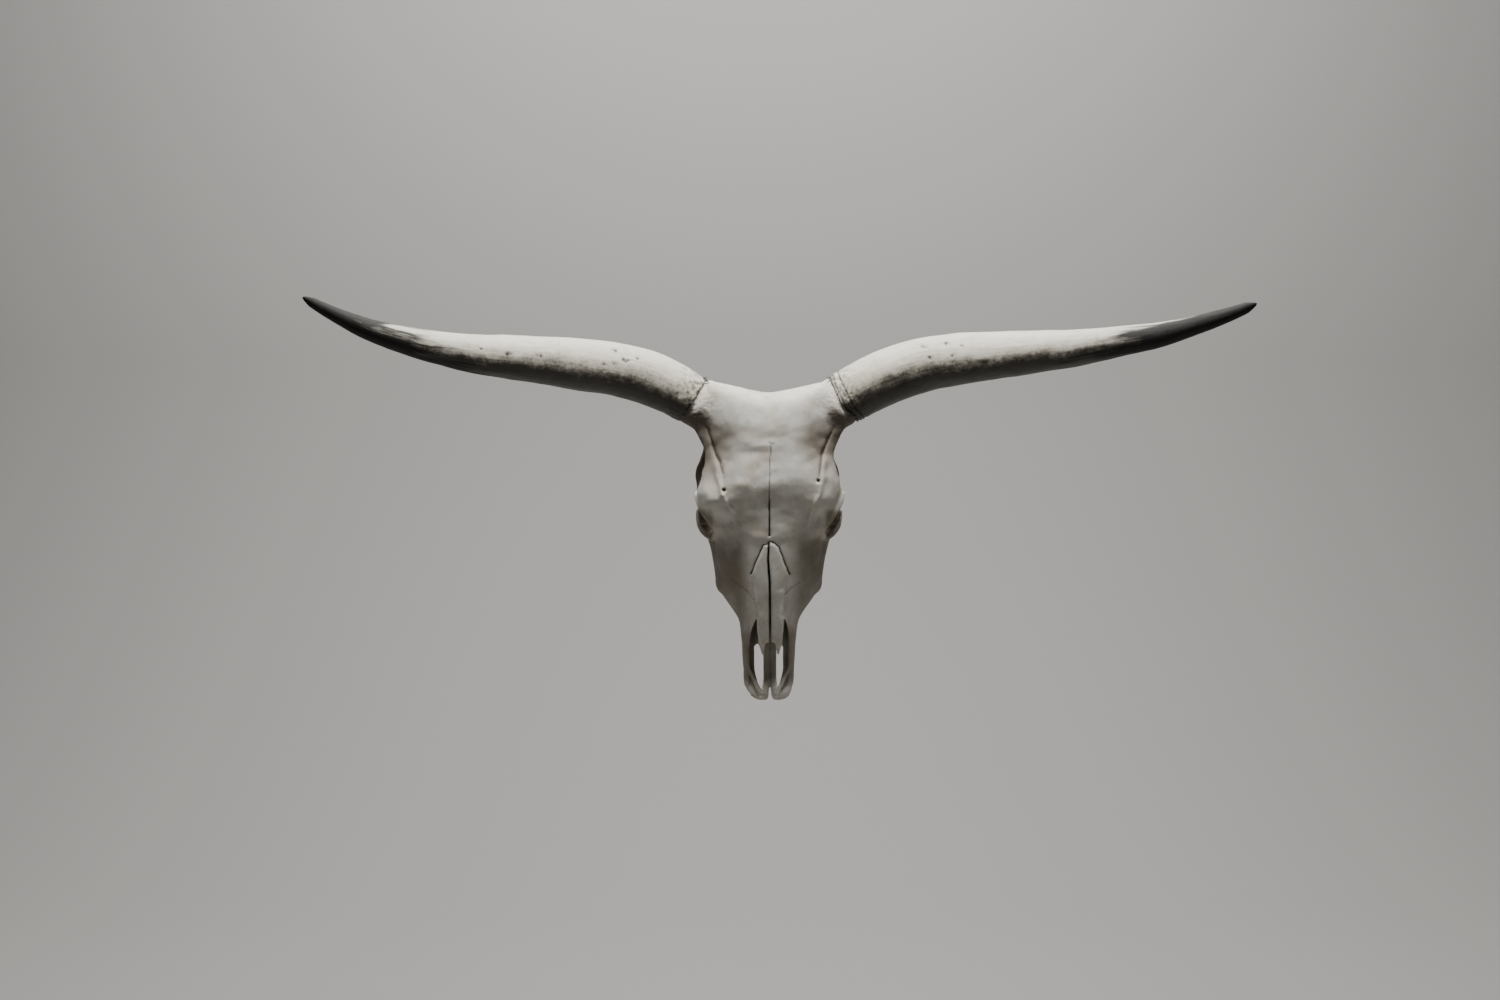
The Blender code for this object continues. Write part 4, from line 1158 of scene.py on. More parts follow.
@dataclass
class SkullBone:
    """The whole skull, grown in one field of distances, then carved and weathered."""

    voxel: float = 0.0013
    reach: float = 0.0126
    mass_spread: float = 0.0045
    triangles: int = 190000
    room: Rows = ((-0.15, -0.2, -0.385), (0.15, 0.004, 0.105))
    hollow_voxel: float = 0.002
    neck_reach: float = 0.043
    crease_steps: int = 5
    frontal_roof: Rows = (
        (0.05, 0.064, 0.156, 0.146, 0.134, 2.2, 2.2),
        (0.0432, 0.08, 0.167, 0.144, 0.124, 2.2, 2.3),
        (0.033, 0.09, 0.176, 0.138, 0.118, 2.1, 2.3),
        (0.0095, 0.096, 0.1804, 0.128, 0.118, 1.95, 2.3),
        (-0.005, 0.0925, 0.1794, 0.127, 0.118, 1.95, 2.3),
        (-0.02, 0.0875, 0.1779, 0.128, 0.12, 2.0, 2.3),
        (-0.035, 0.0865, 0.1769, 0.13, 0.122, 2.1, 2.3),
        (-0.054, 0.0895, 0.1763, 0.133, 0.123, 2.25, 2.2),
        (-0.071, 0.094, 0.1746, 0.136, 0.122, 2.4, 2.2),
        (-0.084, 0.0935, 0.1698, 0.135, 0.12, 2.5, 2.2),
        (-0.099, 0.086, 0.1642, 0.13, 0.114, 2.6, 2.2),
        (-0.113, 0.076, 0.1592, 0.122, 0.104, 2.4, 2.0),
        (-0.132, 0.066, 0.152, 0.11, 0.09, 2.3, 2.0),
        (-0.156, 0.056, 0.136, 0.102, 0.084, 2.2, 2.0))
    step_lean: float = 0.09
    step_z: float = -0.079
    step_spread: float = 0.03
    orbit_roof: Rows = (
        (0.077, 0.129, -0.07, 0.016, 0.01),
        (0.074, 0.13, -0.086, 0.021, 0.012),
        (0.068, 0.13, -0.102, 0.022, 0.012),
        (0.06, 0.128, -0.118, 0.018, 0.012),
        (0.054, 0.126, -0.13, 0.012, 0.01))
    poll_rise: float = 3.4
    poll_rise_top: float = 0.035
    poll_rise_end: float = -0.02
    braincase: Rows = (
        (0.034, 0.052, 0.15, 0.1, 0.062, 2.2, 2.2),
        (0.01, 0.058, 0.15, 0.1, 0.05, 2.2, 2.2),
        (-0.02, 0.056, 0.15, 0.1, 0.05, 2.2, 2.2),
        (-0.05, 0.046, 0.15, 0.1, 0.055, 2.2, 2.2),
        (-0.08, 0.036, 0.15, 0.1, 0.06, 2.2, 2.2),
        (-0.105, 0.034, 0.145, 0.1, 0.06, 2.2, 2.2))
    occiput: Rows = (
        (0.04, 0.072, 0.16, 0.118, 0.092, 2.6, 2.4),
        (0.032, 0.083, 0.158, 0.096, 0.056, 2.6, 2.6),
        (0.016, 0.082, 0.152, 0.092, 0.052, 2.6, 2.6),
        (-0.004, 0.062, 0.14, 0.092, 0.056, 2.4, 2.4))
    face: Rows = (
        (-0.096, 0.05, 0.142, 0.1, 0.06, 2.2, 2.2),
        (-0.122, 0.071, 0.153, 0.098, 0.046, 2.4, 2.4),
        (-0.15, 0.0735, 0.1472, 0.088, 0.038, 2.0, 2.6),
        (-0.18, 0.0715, 0.1402, 0.075, 0.034, 1.8, 2.6),
        (-0.205, 0.069, 0.1336, 0.067, 0.032, 1.65, 2.6),
        (-0.222, 0.0615, 0.1286, 0.065, 0.032, 1.6, 2.4),
        (-0.236, 0.0515, 0.1236, 0.066, 0.034, 1.6, 2.2),
        (-0.246, 0.0448, 0.1198, 0.067, 0.04, 1.65, 2.0),
        (-0.256, 0.0398, 0.116, 0.067, 0.044, 1.7, 2.0),
        (-0.268, 0.0376, 0.1111, 0.067, 0.047, 1.75, 2.0),
        (-0.285, 0.0364, 0.104, 0.067, 0.052, 1.8, 2.0))
    nasal_cavity: Rows = (
        (-0.128, 0.02, 0.122, 0.085, 0.056, 2.0, 2.0),
        (-0.15, 0.034, 0.13, 0.085, 0.05, 2.0, 2.2),
        (-0.19, 0.04, 0.122, 0.078, 0.046, 1.8, 2.2),
        (-0.222, 0.037, 0.114, 0.07, 0.044, 1.8, 2.2),
        (-0.24, 0.033, 0.11, 0.068, 0.044, 1.8, 2.2),
        (-0.3, 0.03, 0.1, 0.064, 0.04, 1.8, 2.2))
    notch: Rows = (
        (-0.0168, -0.249, 0.0003),
        (-0.0183, -0.257, 0.002),
        (-0.0198, -0.267, 0.0042),
        (-0.0203, -0.283, 0.0074),
        (-0.019, -0.301, 0.0095))
    nasal_end: Rows = (
        (-0.013, -0.299, 0.014),
        (0.016, -0.299, 0.014))
    horn_boss: Rows = (
        (0.046, 0.136, 0.024, 0.028, 0.028),
        (0.074, 0.13, 0.033, 0.032, 0.032),
        (0.094, 0.126, 0.04, 0.032, 0.032),
        (0.106, 0.1255, 0.047, 0.03, 0.03))
    boss_skirt: Rows = (
        (0.076, 0.134, -0.022, 0.01, 0.014),
        (0.084, 0.13, 0.0, 0.012, 0.016),
        (0.094, 0.127, 0.016, 0.012, 0.018))
    tooth_bed: Rows = (
        (0.047, 0.04, -0.112, 0.013, 0.01),
        (0.052, 0.036, -0.14, 0.013, 0.012),
        (0.051, 0.035, -0.18, 0.012, 0.012),
        (0.045, 0.037, -0.22, 0.009, 0.01),
        (0.037, 0.046, -0.252, 0.005, 0.008))
    orbit_rim: Rows = (
        (0.098, 0.128, -0.082, 0.0014),
        (0.095, 0.133, -0.093, 0.0016),
        (0.0872, 0.136, -0.1075, 0.0018),
        (0.0775, 0.132, -0.1205, 0.0022),
        (0.071, 0.122, -0.131, 0.0032),
        (0.075, 0.102, -0.138, 0.004),
        (0.086, 0.09, -0.131, 0.004),
        (0.091, 0.086, -0.116, 0.0036),
        (0.0925, 0.09, -0.1, 0.003),
        (0.095, 0.105, -0.087, 0.0026),
        (0.097, 0.118, -0.082, 0.002))
    malar: Rows = (
        (0.086, 0.082, -0.106, 0.006, 0.01),
        (0.08, 0.08, -0.13, 0.006, 0.012),
        (0.07, 0.075, -0.168, 0.005, 0.013),
        (0.0635, 0.07, -0.202, 0.0055, 0.01))
    malar_hook: Rows = (
        (0.0968, 0.0985, -0.104, 0.0009, 0.002),
        (0.0966, 0.0975, -0.1085, 0.0012, 0.0055),
        (0.0955, 0.0965, -0.118, 0.0018, 0.0085),
        (0.0938, 0.0965, -0.1245, 0.0026, 0.009),
        (0.0893, 0.097, -0.1315, 0.0036, 0.009),
        (0.084, 0.0975, -0.1372, 0.0036, 0.009),
        (0.0788, 0.099, -0.1418, 0.0024, 0.007),
        (0.0764, 0.101, -0.1438, 0.0011, 0.004))
    zygomatic_arch: Rows = (
        (0.086, 0.1, -0.118, 0.006, 0.01),
        (0.0895, 0.092, -0.08, 0.0045, 0.009),
        (0.0916, 0.088, -0.064, 0.0045, 0.008),
        (0.0926, 0.088, -0.057, 0.0045, 0.008),
        (0.0908, 0.088, -0.048, 0.0045, 0.008),
        (0.0868, 0.087, -0.039, 0.0045, 0.0075),
        (0.0825, 0.086, -0.027, 0.005, 0.007),
        (0.076, 0.084, -0.01, 0.007, 0.007),
        (0.062, 0.082, 0.004, 0.01, 0.008))
    arch_shift: float = -0.0022
    postorbital_bar: Rows = (
        (0.089, 0.129, -0.076, 0.0045, 0.005),
        (0.092, 0.11, -0.08, 0.004, 0.005),
        (0.0925, 0.092, -0.082, 0.004, 0.006))
    tuberosity: Rows = ((0.063, 0.067, -0.206), (0.0065, 0.01, 0.009))
    palate: Rows = (
        (0.014, 0.041, -0.122, 0.016, 0.003),
        (0.016, 0.041, -0.18, 0.018, 0.003),
        (0.015, 0.043, -0.24, 0.018, 0.003),
        (0.013, 0.047, -0.282, 0.013, 0.003),
        (0.013, 0.049, -0.298, 0.012, 0.003))
    premaxilla_lean: Row = (-0.2, 0.98, 0.0)
    premaxilla_bar: Rows = (
        (0.035, 0.08, -0.226, 0.005, 0.026),
        (0.033, 0.08, -0.246, 0.0045, 0.023),
        (0.0318, 0.075, -0.27, 0.0044, 0.017),
        (0.0312, 0.068, -0.298, 0.0044, 0.011),
        (0.03, 0.061, -0.323, 0.0044, 0.007),
        (0.0285, 0.057, -0.341, 0.0048, 0.005))
    premaxilla_ledge: Rows = (
        (0.03, 0.055, -0.236, 0.006, 0.006),
        (0.0262, 0.056, -0.266, 0.005, 0.0035),
        (0.024, 0.056, -0.296, 0.0046, 0.0028),
        (0.0236, 0.057, -0.322, 0.0046, 0.0028),
        (0.02, 0.059, -0.338, 0.0046, 0.003),
        (0.016, 0.061, -0.349, 0.004, 0.003))
    premaxilla_flange: Rows = (
        (0.0295, 0.056, -0.32, 0.0048, 0.0035),
        (0.0275, 0.056, -0.336, 0.007, 0.0035),
        (0.0238, 0.057, -0.348, 0.0062, 0.0035))
    premaxilla_ridge: Rows = (
        (0.0312, 0.07, -0.296, 0.0026, 0.004),
        (0.029, 0.069, -0.314, 0.0024, 0.004),
        (0.0222, 0.068, -0.331, 0.0022, 0.004),
        (0.015, 0.068, -0.345, 0.003, 0.0045),
        (0.0105, 0.067, -0.354, 0.0045, 0.005))
    premaxilla_tip: Rows = (
        (0.025, 0.0575, -0.3475, 0.0052, 0.0045),
        (0.0195, 0.06, -0.3535, 0.0076, 0.005),
        (0.0125, 0.0618, -0.3562, 0.007, 0.005),
        (0.0056, 0.0626, -0.3566, 0.0066, 0.0036))
    palatine_process: Rows = (
        (0.0044, 0.05, -0.262, 0.0046, 0.004),
        (0.0044, 0.054, -0.318, 0.0046, 0.004),
        (0.0045, 0.059, -0.338, 0.0048, 0.005),
        (0.0072, 0.062, -0.353, 0.005, 0.0056))
    fissure: Rows = ((0.0155, 0.049, -0.311), (0.0075, 0.014, 0.023))
    nasal_bone: Rows = (
        (0.0096, 0.1258, -0.212, 0.0092, 0.0026),
        (0.0092, 0.118, -0.244, 0.0088, 0.0026),
        (0.008, 0.1094, -0.268, 0.0074, 0.0024),
        (0.0074, 0.1055, -0.2785, 0.0062, 0.002))
    nasal_prong: Rows = (
        (0.0118, 0.1104, -0.26, 0.0056, 0.0024),
        (0.0112, 0.1043, -0.281, 0.0049, 0.0022),
        (0.0108, 0.1022, -0.2885, 0.0032, 0.002),
        (0.0104, 0.0998, -0.297, 0.0012, 0.0014))
    nose_shift: float = 0.0017
    condyle: Rows = ((0.0235, 0.046, 0.024), (0.017, 0.019, 0.021))
    jugular_process: Rows = (
        (0.06, 0.074, 0.012, 0.012, 0.01),
        (0.055, 0.044, 0.012, 0.01, 0.007),
        (0.05, 0.018, 0.01, 0.006, 0.005))
    skull_base: Rows = (
        (0.0, 0.05, 0.02, 0.02, 0.008),
        (0.0, 0.052, -0.01, 0.02, 0.009),
        (0.0, 0.054, -0.045, 0.017, 0.01),
        (0.0, 0.061, -0.085, 0.011, 0.009),
        (0.0, 0.066, -0.12, 0.006, 0.014))
    bulla: Rows = ((0.034, 0.05, -0.016), (0.011, 0.016, 0.015))
    pterygoid_plate: Rows = (
        (0.019, 0.056, -0.055, 0.004, 0.012),
        (0.02, 0.046, -0.085, 0.003, 0.015),
        (0.022, 0.044, -0.116, 0.004, 0.014))
    vomer: Rows = (
        (0.0, 0.06, -0.15, 0.0022, 0.022),
        (0.0, 0.054, -0.2, 0.0022, 0.014),
        (0.0, 0.052, -0.255, 0.0024, 0.007))
    turbinate: Rows = (
        (0.018, 0.086, -0.17, 0.0045, 0.016),
        (0.019, 0.078, -0.205, 0.005, 0.014),
        (0.018, 0.072, -0.24, 0.0035, 0.009))
    eye_hollow: Rows = ((0.088, 0.112, -0.1), (0.042, 0.0215, 0.0235))
    # The arch in each horn's shadow, darkened as painted shadow with the hollows' walls
    arch_shadow: Rows = ((0.094, 0.084, -0.048), (0.014, 0.024, 0.046))
    fossa_hollow: Rows = ((0.074, 0.088, -0.062), (0.02, 0.038, 0.046))
    foramen_magnum: Rows = (
        (0.0, 0.066, 0.07, 0.017, 0.016),
        (0.0, 0.07, 0.03, 0.017, 0.016),
        (0.0, 0.084, 0.005, 0.024, 0.02),
        (0.0, 0.094, -0.035, 0.022, 0.02))
    choana: Rows = (
        (0.0, 0.036, -0.098, 0.014, 0.014),
        (0.0, 0.06, -0.112, 0.013, 0.014),
        (0.0, 0.08, -0.15, 0.012, 0.014))
    slits: tuple[tuple[Rows, tuple[float, float]], ...] = (
        (((-0.0004, -0.064, 0.0001), (-0.0004, -0.076, 0.0004), (-0.0003, -0.1, 0.0007),
          (-0.0002, -0.1101, 0.0009), (-0.0001, -0.1244, 0.0011), (-0.0002, -0.1374, 0.0012)),
         (0.11, 0.18)),
        (((-0.0004, -0.1445, 0.0006), (-0.0007, -0.148, 0.0012), (-0.0018, -0.1696, 0.0013),
          (0.0006, -0.2, 0.0015), (0.0011, -0.2435, 0.0013), (0.0017, -0.3, 0.0013)), (0.088, 0.17)),
        (((-0.0196, -0.176, 0.0002), (-0.0237, -0.1872, 0.0009)), (0.112, 0.16)),
        (((0.0204, -0.1732, 0.0003), (0.025, -0.1845, 0.0008), (0.0266, -0.1881, 0.0009)), (0.112, 0.16)))
    hanger_seat: Rows = ((-0.0158, -0.005, -0.0558), (0.0158, 0.046, -0.0148))
    screw_heights: Row = (-0.029, -0.044)
    screw_room: Row = (0.0026, 0.058)
    mass_blend: float = 0.004
    foramen_depth: float = 0.0065
    foramen_lip_drop: float = 0.0042
    foramen_lip_rise: float = 0.0008
    foramen_lip_half: float = 0.0028
    nasal_rise: float = 0.0022
    horn_room: float = 0.01
    horn_room_runs: Row = (-0.006, 0.012, 0.024, 0.04)
    core_gap: float = 0.0005
    notch_depths: tuple[float, float] = (0.072, 0.17)
    front_fade: tuple[float, float] = (0.095, 0.115)
    seams: tuple[Seam, ...] = (
        Seam(((-0.08, 0.0004), (-0.0748, -0.0165), (-0.0696, -0.032), (-0.0644, -0.0425),
              (-0.0612, -0.0555)), 0.0009, 0.0005, 0.0005, 0.65),
        Seam(((0.0809, -0.0022), (0.0744, -0.0165), (0.0679, -0.032), (0.066, -0.049),
              (0.0645, -0.06)), 0.0009, 0.0005, 0.0005, 0.65),
        Seam(((0.0017, -0.0166), (-0.0001, -0.0516), (-0.0005, -0.0775), (-0.0006, -0.099)),
             0.0006, 0.0008, 0.0006, 0.6),
        Seam(((-0.0015, -0.0168), (0.0052, -0.018)), 0.0008, 0.0009, 0.0006, 0.5),
        Seam(((-0.0005, -0.09), (-0.0002, -0.1101), (-0.0002, -0.1374)), 0.0012, 0.0004, 0.0003, 0.6),
        Seam(((-0.0007, -0.1459), (-0.0018, -0.1696), (0.0006, -0.2), (0.0011, -0.2435),
              (0.0017, -0.3)), 0.0018, 0.0003, 0.0002, 0.7),
        Seam(((-0.0025, -0.1482), (-0.0084, -0.1496), (-0.0137, -0.162), (-0.0176, -0.1706),
              (-0.0237, -0.1872)), 0.0009, 0.0013, 0.0004, 0.9),
        Seam(((0.0014, -0.145), (0.0073, -0.1469), (0.0126, -0.1522), (0.0175, -0.165),
              (0.0204, -0.1732), (0.0244, -0.1842), (0.0266, -0.1881)), 0.0009, 0.0013, 0.0004, 0.9),
        Seam(((-0.0202, -0.2226), (-0.0268, -0.2147), (-0.0321, -0.2094), (-0.05, -0.196)),
             0.0009, 0.0006, 0.001, 0.25),
        Seam(((0.0207, -0.216), (0.03, -0.2067), (0.0405, -0.2001)), 0.0009, 0.0006, 0.001, 0.25))
    crests: tuple[Crest, ...] = (
        Crest(((-0.085, 0.008, 0.002, 0.0), (-0.08, 0.0004, 0.0022, -0.0016),
               (-0.0748, -0.0165, 0.0023, -0.0026), (-0.0696, -0.032, 0.0024, -0.003),
               (-0.0644, -0.0425, 0.0022, -0.0026), (-0.0612, -0.0555, 0.0018, -0.0014),
               (-0.0597, -0.07, 0.002, -0.0008), (-0.0595, -0.077, 0.0022, -0.001))),
        Crest(((0.085, 0.008, 0.002, 0.0), (0.0809, -0.0022, 0.0022, -0.0016),
               (0.0744, -0.0165, 0.0023, -0.0026), (0.0679, -0.032, 0.0022, -0.0028),
               (0.066, -0.049, 0.002, -0.0022), (0.064, -0.062, 0.0026, -0.002))),
        Crest(((-0.078, -0.022, 0.004, 0.0), (-0.0749, -0.0372, 0.0034, 0.0004),
               (-0.07, -0.045, 0.0046, 0.0026), (-0.069, -0.058, 0.004, 0.0024),
               (-0.0645, -0.0723, 0.0036, 0.002), (-0.0613, -0.0846, 0.003, 0.0022))),
        Crest(((-0.0613, -0.0846, 0.0028, 0.002), (-0.0541, -0.0983, 0.0019, 0.0017),
               (-0.0476, -0.11, 0.0019, 0.0015), (-0.0437, -0.1243, 0.0022, 0.001),
               (-0.043, -0.133, 0.0024, 0.0))),
        Crest(((0.079, -0.018, 0.004, 0.0), (0.076, -0.0307, 0.0034, 0.0004),
               (0.071, -0.044, 0.0046, 0.0026), (0.07, -0.0606, 0.004, 0.0022),
               (0.0668, -0.074, 0.0036, 0.0018), (0.0656, -0.0827, 0.0028, 0.0018),
               (0.0578, -0.0983, 0.0019, 0.0017), (0.0513, -0.1165, 0.0019, 0.0014),
               (0.048, -0.13, 0.0024, 0.0))),
        Crest(((-0.0237, -0.1872, 0.003, -0.001), (-0.0215, -0.205, 0.003, -0.0012),
               (-0.02, -0.225, 0.003, -0.0012), (-0.017, -0.245, 0.003, -0.0008))),
        Crest(((0.0266, -0.1881, 0.003, -0.001), (0.0225, -0.205, 0.003, -0.0012),
               (0.0205, -0.225, 0.003, -0.0012), (0.0194, -0.2437, 0.003, -0.0008))))
    swells: tuple[Swell, ...] = (
        Swell((0.026, -0.07), (0.026, 0.012), 0.0007),
        Swell((0.026, -0.108), (0.022, 0.018), -0.001),
        Swell((0.073, -0.09), (0.016, 0.017), 0.0048),
        Swell((0.06, -0.028), (0.021, 0.022), -0.0036),
        Swell((0.0, -0.102), (0.016, 0.02), -0.0008),
        Swell((0.01, -0.14), (0.014, 0.008), 0.0014),
        Swell((0.08, -0.097), (0.01, 0.014), 0.001),
        Swell((0.048, -0.15), (0.014, 0.022), -0.0016))
    foramina: Rows = ((-0.0595, -0.0775, 0.0019), (0.0634, -0.0655, 0.0023))
    nasal_outline: Trace = (
        (0.0, -0.145), (-0.0084, -0.1496), (-0.0137, -0.162), (-0.0176, -0.1706), (-0.0237, -0.1872),
        (-0.0215, -0.205), (-0.02, -0.225), (-0.017, -0.245), (-0.014, -0.3), (0.015, -0.3),
        (0.0194, -0.2437), (0.0205, -0.225), (0.0225, -0.205), (0.0266, -0.1881), (0.0204, -0.1732),
        (0.0126, -0.1522), (0.0073, -0.1469))

    def raised_roof(self) -> Solid:
        """The frontal roof with both ends of its poll raised and its step a little askew."""
        roof = loft(self.frontal_roof)
        share = (roof.points[:, 2] - self.poll_rise_end) / (self.poll_rise_top - self.poll_rise_end)
        near_step = np.exp(-((roof.points[:, 2] - self.step_z) / self.step_spread) ** 2)
        roof.points[:, 2] += self.poll_rise * roof.points[:, 0] ** 2 * np.clip(share, 0.0, 1.0)
        roof.points[:, 2] += self.step_lean * roof.points[:, 0] * near_step
        return roof

    def grow_masses(self, bone: BoneField) -> None:
        """The solid masses, run together and rounded."""
        bone.join(self.raised_roof(), self.mass_blend)
        for stations in (self.braincase, self.occiput, self.face):
            bone.join(loft(stations), self.mass_blend)
        for side in Side:
            for rows in (self.horn_boss, self.boss_skirt, self.orbit_roof, self.tooth_bed):
                bone.join(bar(rows, side.value), self.mass_blend)
        bone.soften(self.mass_spread)

    def hollows(self) -> list[tuple[Solid, float]]:
        """The nose, braincase, throat, eye sockets and fossae, each with the rounding of its edge."""
        found = [(loft(self.nasal_cavity), 0.003), (bar(self.foramen_magnum), 0.004),
                 (bar(self.choana, lean=(0.0, 0.0, 1.0)), 0.003)]
        for side in Side:
            found.append((ball(*self.eye_hollow, side.value), 0.004))
            found.append((ball(*self.fossa_hollow, side.value), 0.008))
        return found

    def add_slender_bones(self, bone: BoneField) -> None:
        """The arches, rims, palate and the base."""
        bone.join(bar(self.skull_base), 0.006)
        bone.join(bar(self.vomer), 0.003)
        for side in (side.value for side in Side):
            bone.join(hoop(self.orbit_rim, side), 0.007)
            bone.join(bar(self.malar, side), 0.010)
            bone.join(bar(self.malar_hook, side), 0.0015)
            arch = bar(self.zygomatic_arch, side)
            arch.points[:, 0] += self.arch_shift
            for solid in (arch, bar(self.pterygoid_plate, side)):
                bone.join(solid, 0.003)
            for rows in (self.palate, self.turbinate):
                bone.join(bar(rows, side), 0.003)
            bone.cut(ball(*self.fissure, side), 0.002)
            for rows in (self.postorbital_bar, self.jugular_process):
                bone.join(bar(rows, side, (0.0, 0.0, 1.0)), 0.005)
            bone.join(ball(*self.tuberosity, side), 0.008)
            bone.join(ball(*self.condyle, side), 0.006)
            bone.join(ball(*self.bulla, side), 0.006)

    def add_nose(self, bone: BoneField) -> None:
        """The nasal bones and premaxillae, whose middle stands a little to the right."""
        for side in (side.value for side in Side):
            bone.join(bar(self.premaxilla_bar, side, self.premaxilla_lean), 0.004)
            for rows in (self.premaxilla_ledge, self.premaxilla_flange, self.premaxilla_ridge):
                bone.join(bar(rows, side), 0.002)
            for rows, blend in ((self.palatine_process, 0.002), (self.nasal_bone, 0.003),
                                (self.nasal_prong, 0.0015), (self.premaxilla_tip, 0.0025)):
                shifted = bar(rows, side)
                shifted.points[:, 0] += self.nose_shift
                bone.join(shifted, blend)

    def front_heights(self, x: np.ndarray, z: np.ndarray) -> np.ndarray:
        """How far the front stands out at each (x, z): ridges, grooves, swellings and nasal bones."""
        total = sum(shape.heights(x, z) for shape in self.crests + self.swells)
        closed = self.nasal_outline + self.nasal_outline[:1]
        spread_x, spread_z = np.broadcast_arrays(x, z)
        inside = inside_trace(spread_x, spread_z, self.nasal_outline)
        distance = along_line(x, z, closed)[0] * np.where(inside, 1.0, -1.0)
        plateau = smooth_step(distance, -0.0006, 0.0050) * smooth_step(z, -0.245, -0.200)
        for foramen_x, foramen_z, radius in self.foramina:
            away = np.hypot(x - foramen_x, z - foramen_z)
            total -= self.foramen_depth * np.exp(-(away / radius) ** 3)
            lip = np.hypot(x - foramen_x, z - foramen_z + self.foramen_lip_drop)
            total += self.foramen_lip_rise * np.exp(-(lip / self.foramen_lip_half) ** 2)
        return total + self.nasal_rise * plateau

    def fit_horns(self, bone: BoneField, horns: list[HornSheath]) -> None:
        """Room for each sheath's root, and the bony core inside it."""
        for horn in horns:
            radius = horn.frame_at(0.0)[2]
            room = tuple((run, radius + self.horn_room) for run in self.horn_room_runs)
            bone.cut(horn.rings(room), 0.005)
            core = [(-0.040, radius - 0.004), (-0.006, radius - 0.0010)]
            core += [(run, horn.pocket_radius(run) - self.core_gap) for run in np.linspace(0.0, 0.030, 11)]
            bone.join(horn.rings(tuple(core)), 0.004)

    def cut_fittings(self, bone: BoneField, sockets: list[Solid]) -> None:
        """The tooth sockets, the hanger's seat, its screw holes and the open sutures."""
        for socket in sockets:
            bone.cut(socket, 0.001)
        bone.cut(block(*self.hanger_seat), 0.001)
        radius, end = self.screw_room
        for z in self.screw_heights:
            hole = ((0.0, 0.040, z, radius, radius), (0.0, end, z, radius, radius))
            bone.cut(bar(hole, lean=(0.0, 0.0, 1.0)), 0.0005)
        for rows, depths in self.slits:
            bone.cut_slit(rows, depths)

    def seam_at(self, points: np.ndarray, front: np.ndarray) -> tuple[np.ndarray, np.ndarray]:
        """Depth of the sutures and grooves, and how dark their dirt is.

        Args:
            points: The vertices' places.
            front: How much each vertex looks forward.

        Returns:
            The depth in metres and the stain from 0 to 1, for each vertex.
        """
        depth, stain = np.zeros(len(points)), np.zeros(len(points))
        sway = cloud(points, 0.0045, 11) + 0.5 * cloud(points, 0.002, 12)
        for seam in self.seams:
            distance = along_line(points[:, 0] + seam.waver * sway, points[:, 2] + seam.waver * sway,
                                  seam.trace)[0]
            shape = np.exp(-(distance / seam.half) ** 2)
            depth = np.maximum(depth, seam.depth * shape * front)
            stain = np.maximum(stain, seam.stain * shape * front)
        for x, z, radius in self.foramina:
            shape = np.exp(-(np.hypot(points[:, 0] - x, points[:, 2] - z) / radius) ** 2)
            stain = np.maximum(stain, 0.9 * shape * front)
        return depth, stain

    def neck_share(self, points: np.ndarray, horns: list[HornSheath]) -> np.ndarray:
        """How near each vertex is to a sheath's rim, from 0 to 1."""
        near = np.zeros(len(points))
        for horn in horns:
            centre, tangent, radius = horn.frame_at(0.0)
            offset = points - centre
            behind = -offset.dot(tangent)
            aside = np.linalg.norm(offset - np.outer(offset.dot(tangent), tangent), axis=1)
            near = np.maximum(near, smooth_step(-behind, -self.neck_reach, -0.006)
                              * (aside < radius + 0.02) * (behind > -0.004))
        return near

    def relief(self, points: np.ndarray, normals: np.ndarray, horns: list[HornSheath]) -> np.ndarray:
        """How far each vertex is moved along its normal.

        Args:
            points: The vertices' places.
            normals: Their normals.
            horns: The sheaths, near whose rims the bone is wrinkled.

        Returns:
            The move in metres, outwards.
        """
        front = smooth_step(-normals[:, 1], 0.15, 0.5) * smooth_step(-points[:, 1], 0.085, 0.095)
        move = 0.0006 * cloud(points, 0.016, 1) + 0.00024 * cloud(points, 0.007, 2)
        move *= 1.0 - 0.6 * smooth_step(-points[:, 2], 0.130, 0.160)
        move += 0.00010 * cloud(points, 0.0033, 3)
        forehead = front * smooth_step(points[:, 2], -0.150, -0.120)
        forehead *= smooth_step(-points[:, 2], -0.03, 0.02)
        move += forehead * 0.0009 * cloud(points, (0.018, 0.02, 0.010), 4)
        cracks = smooth_step(-np.abs(cloud(points, (0.0065, 0.007, 0.0026), 5)), -0.30, 0.0)
        grains = np.abs(cloud(points, 0.0022, 6))
        move -= self.neck_share(points, horns) * (0.0003 * cracks + 0.0002 * grains)
        sponge = smooth_step(cloud(points, 0.0030, 7), 0.10, 0.60) * smooth_step(-points[:, 2], 0.345, 0.353)
        return move - 0.0005 * sponge - self.seam_at(points, front)[0]

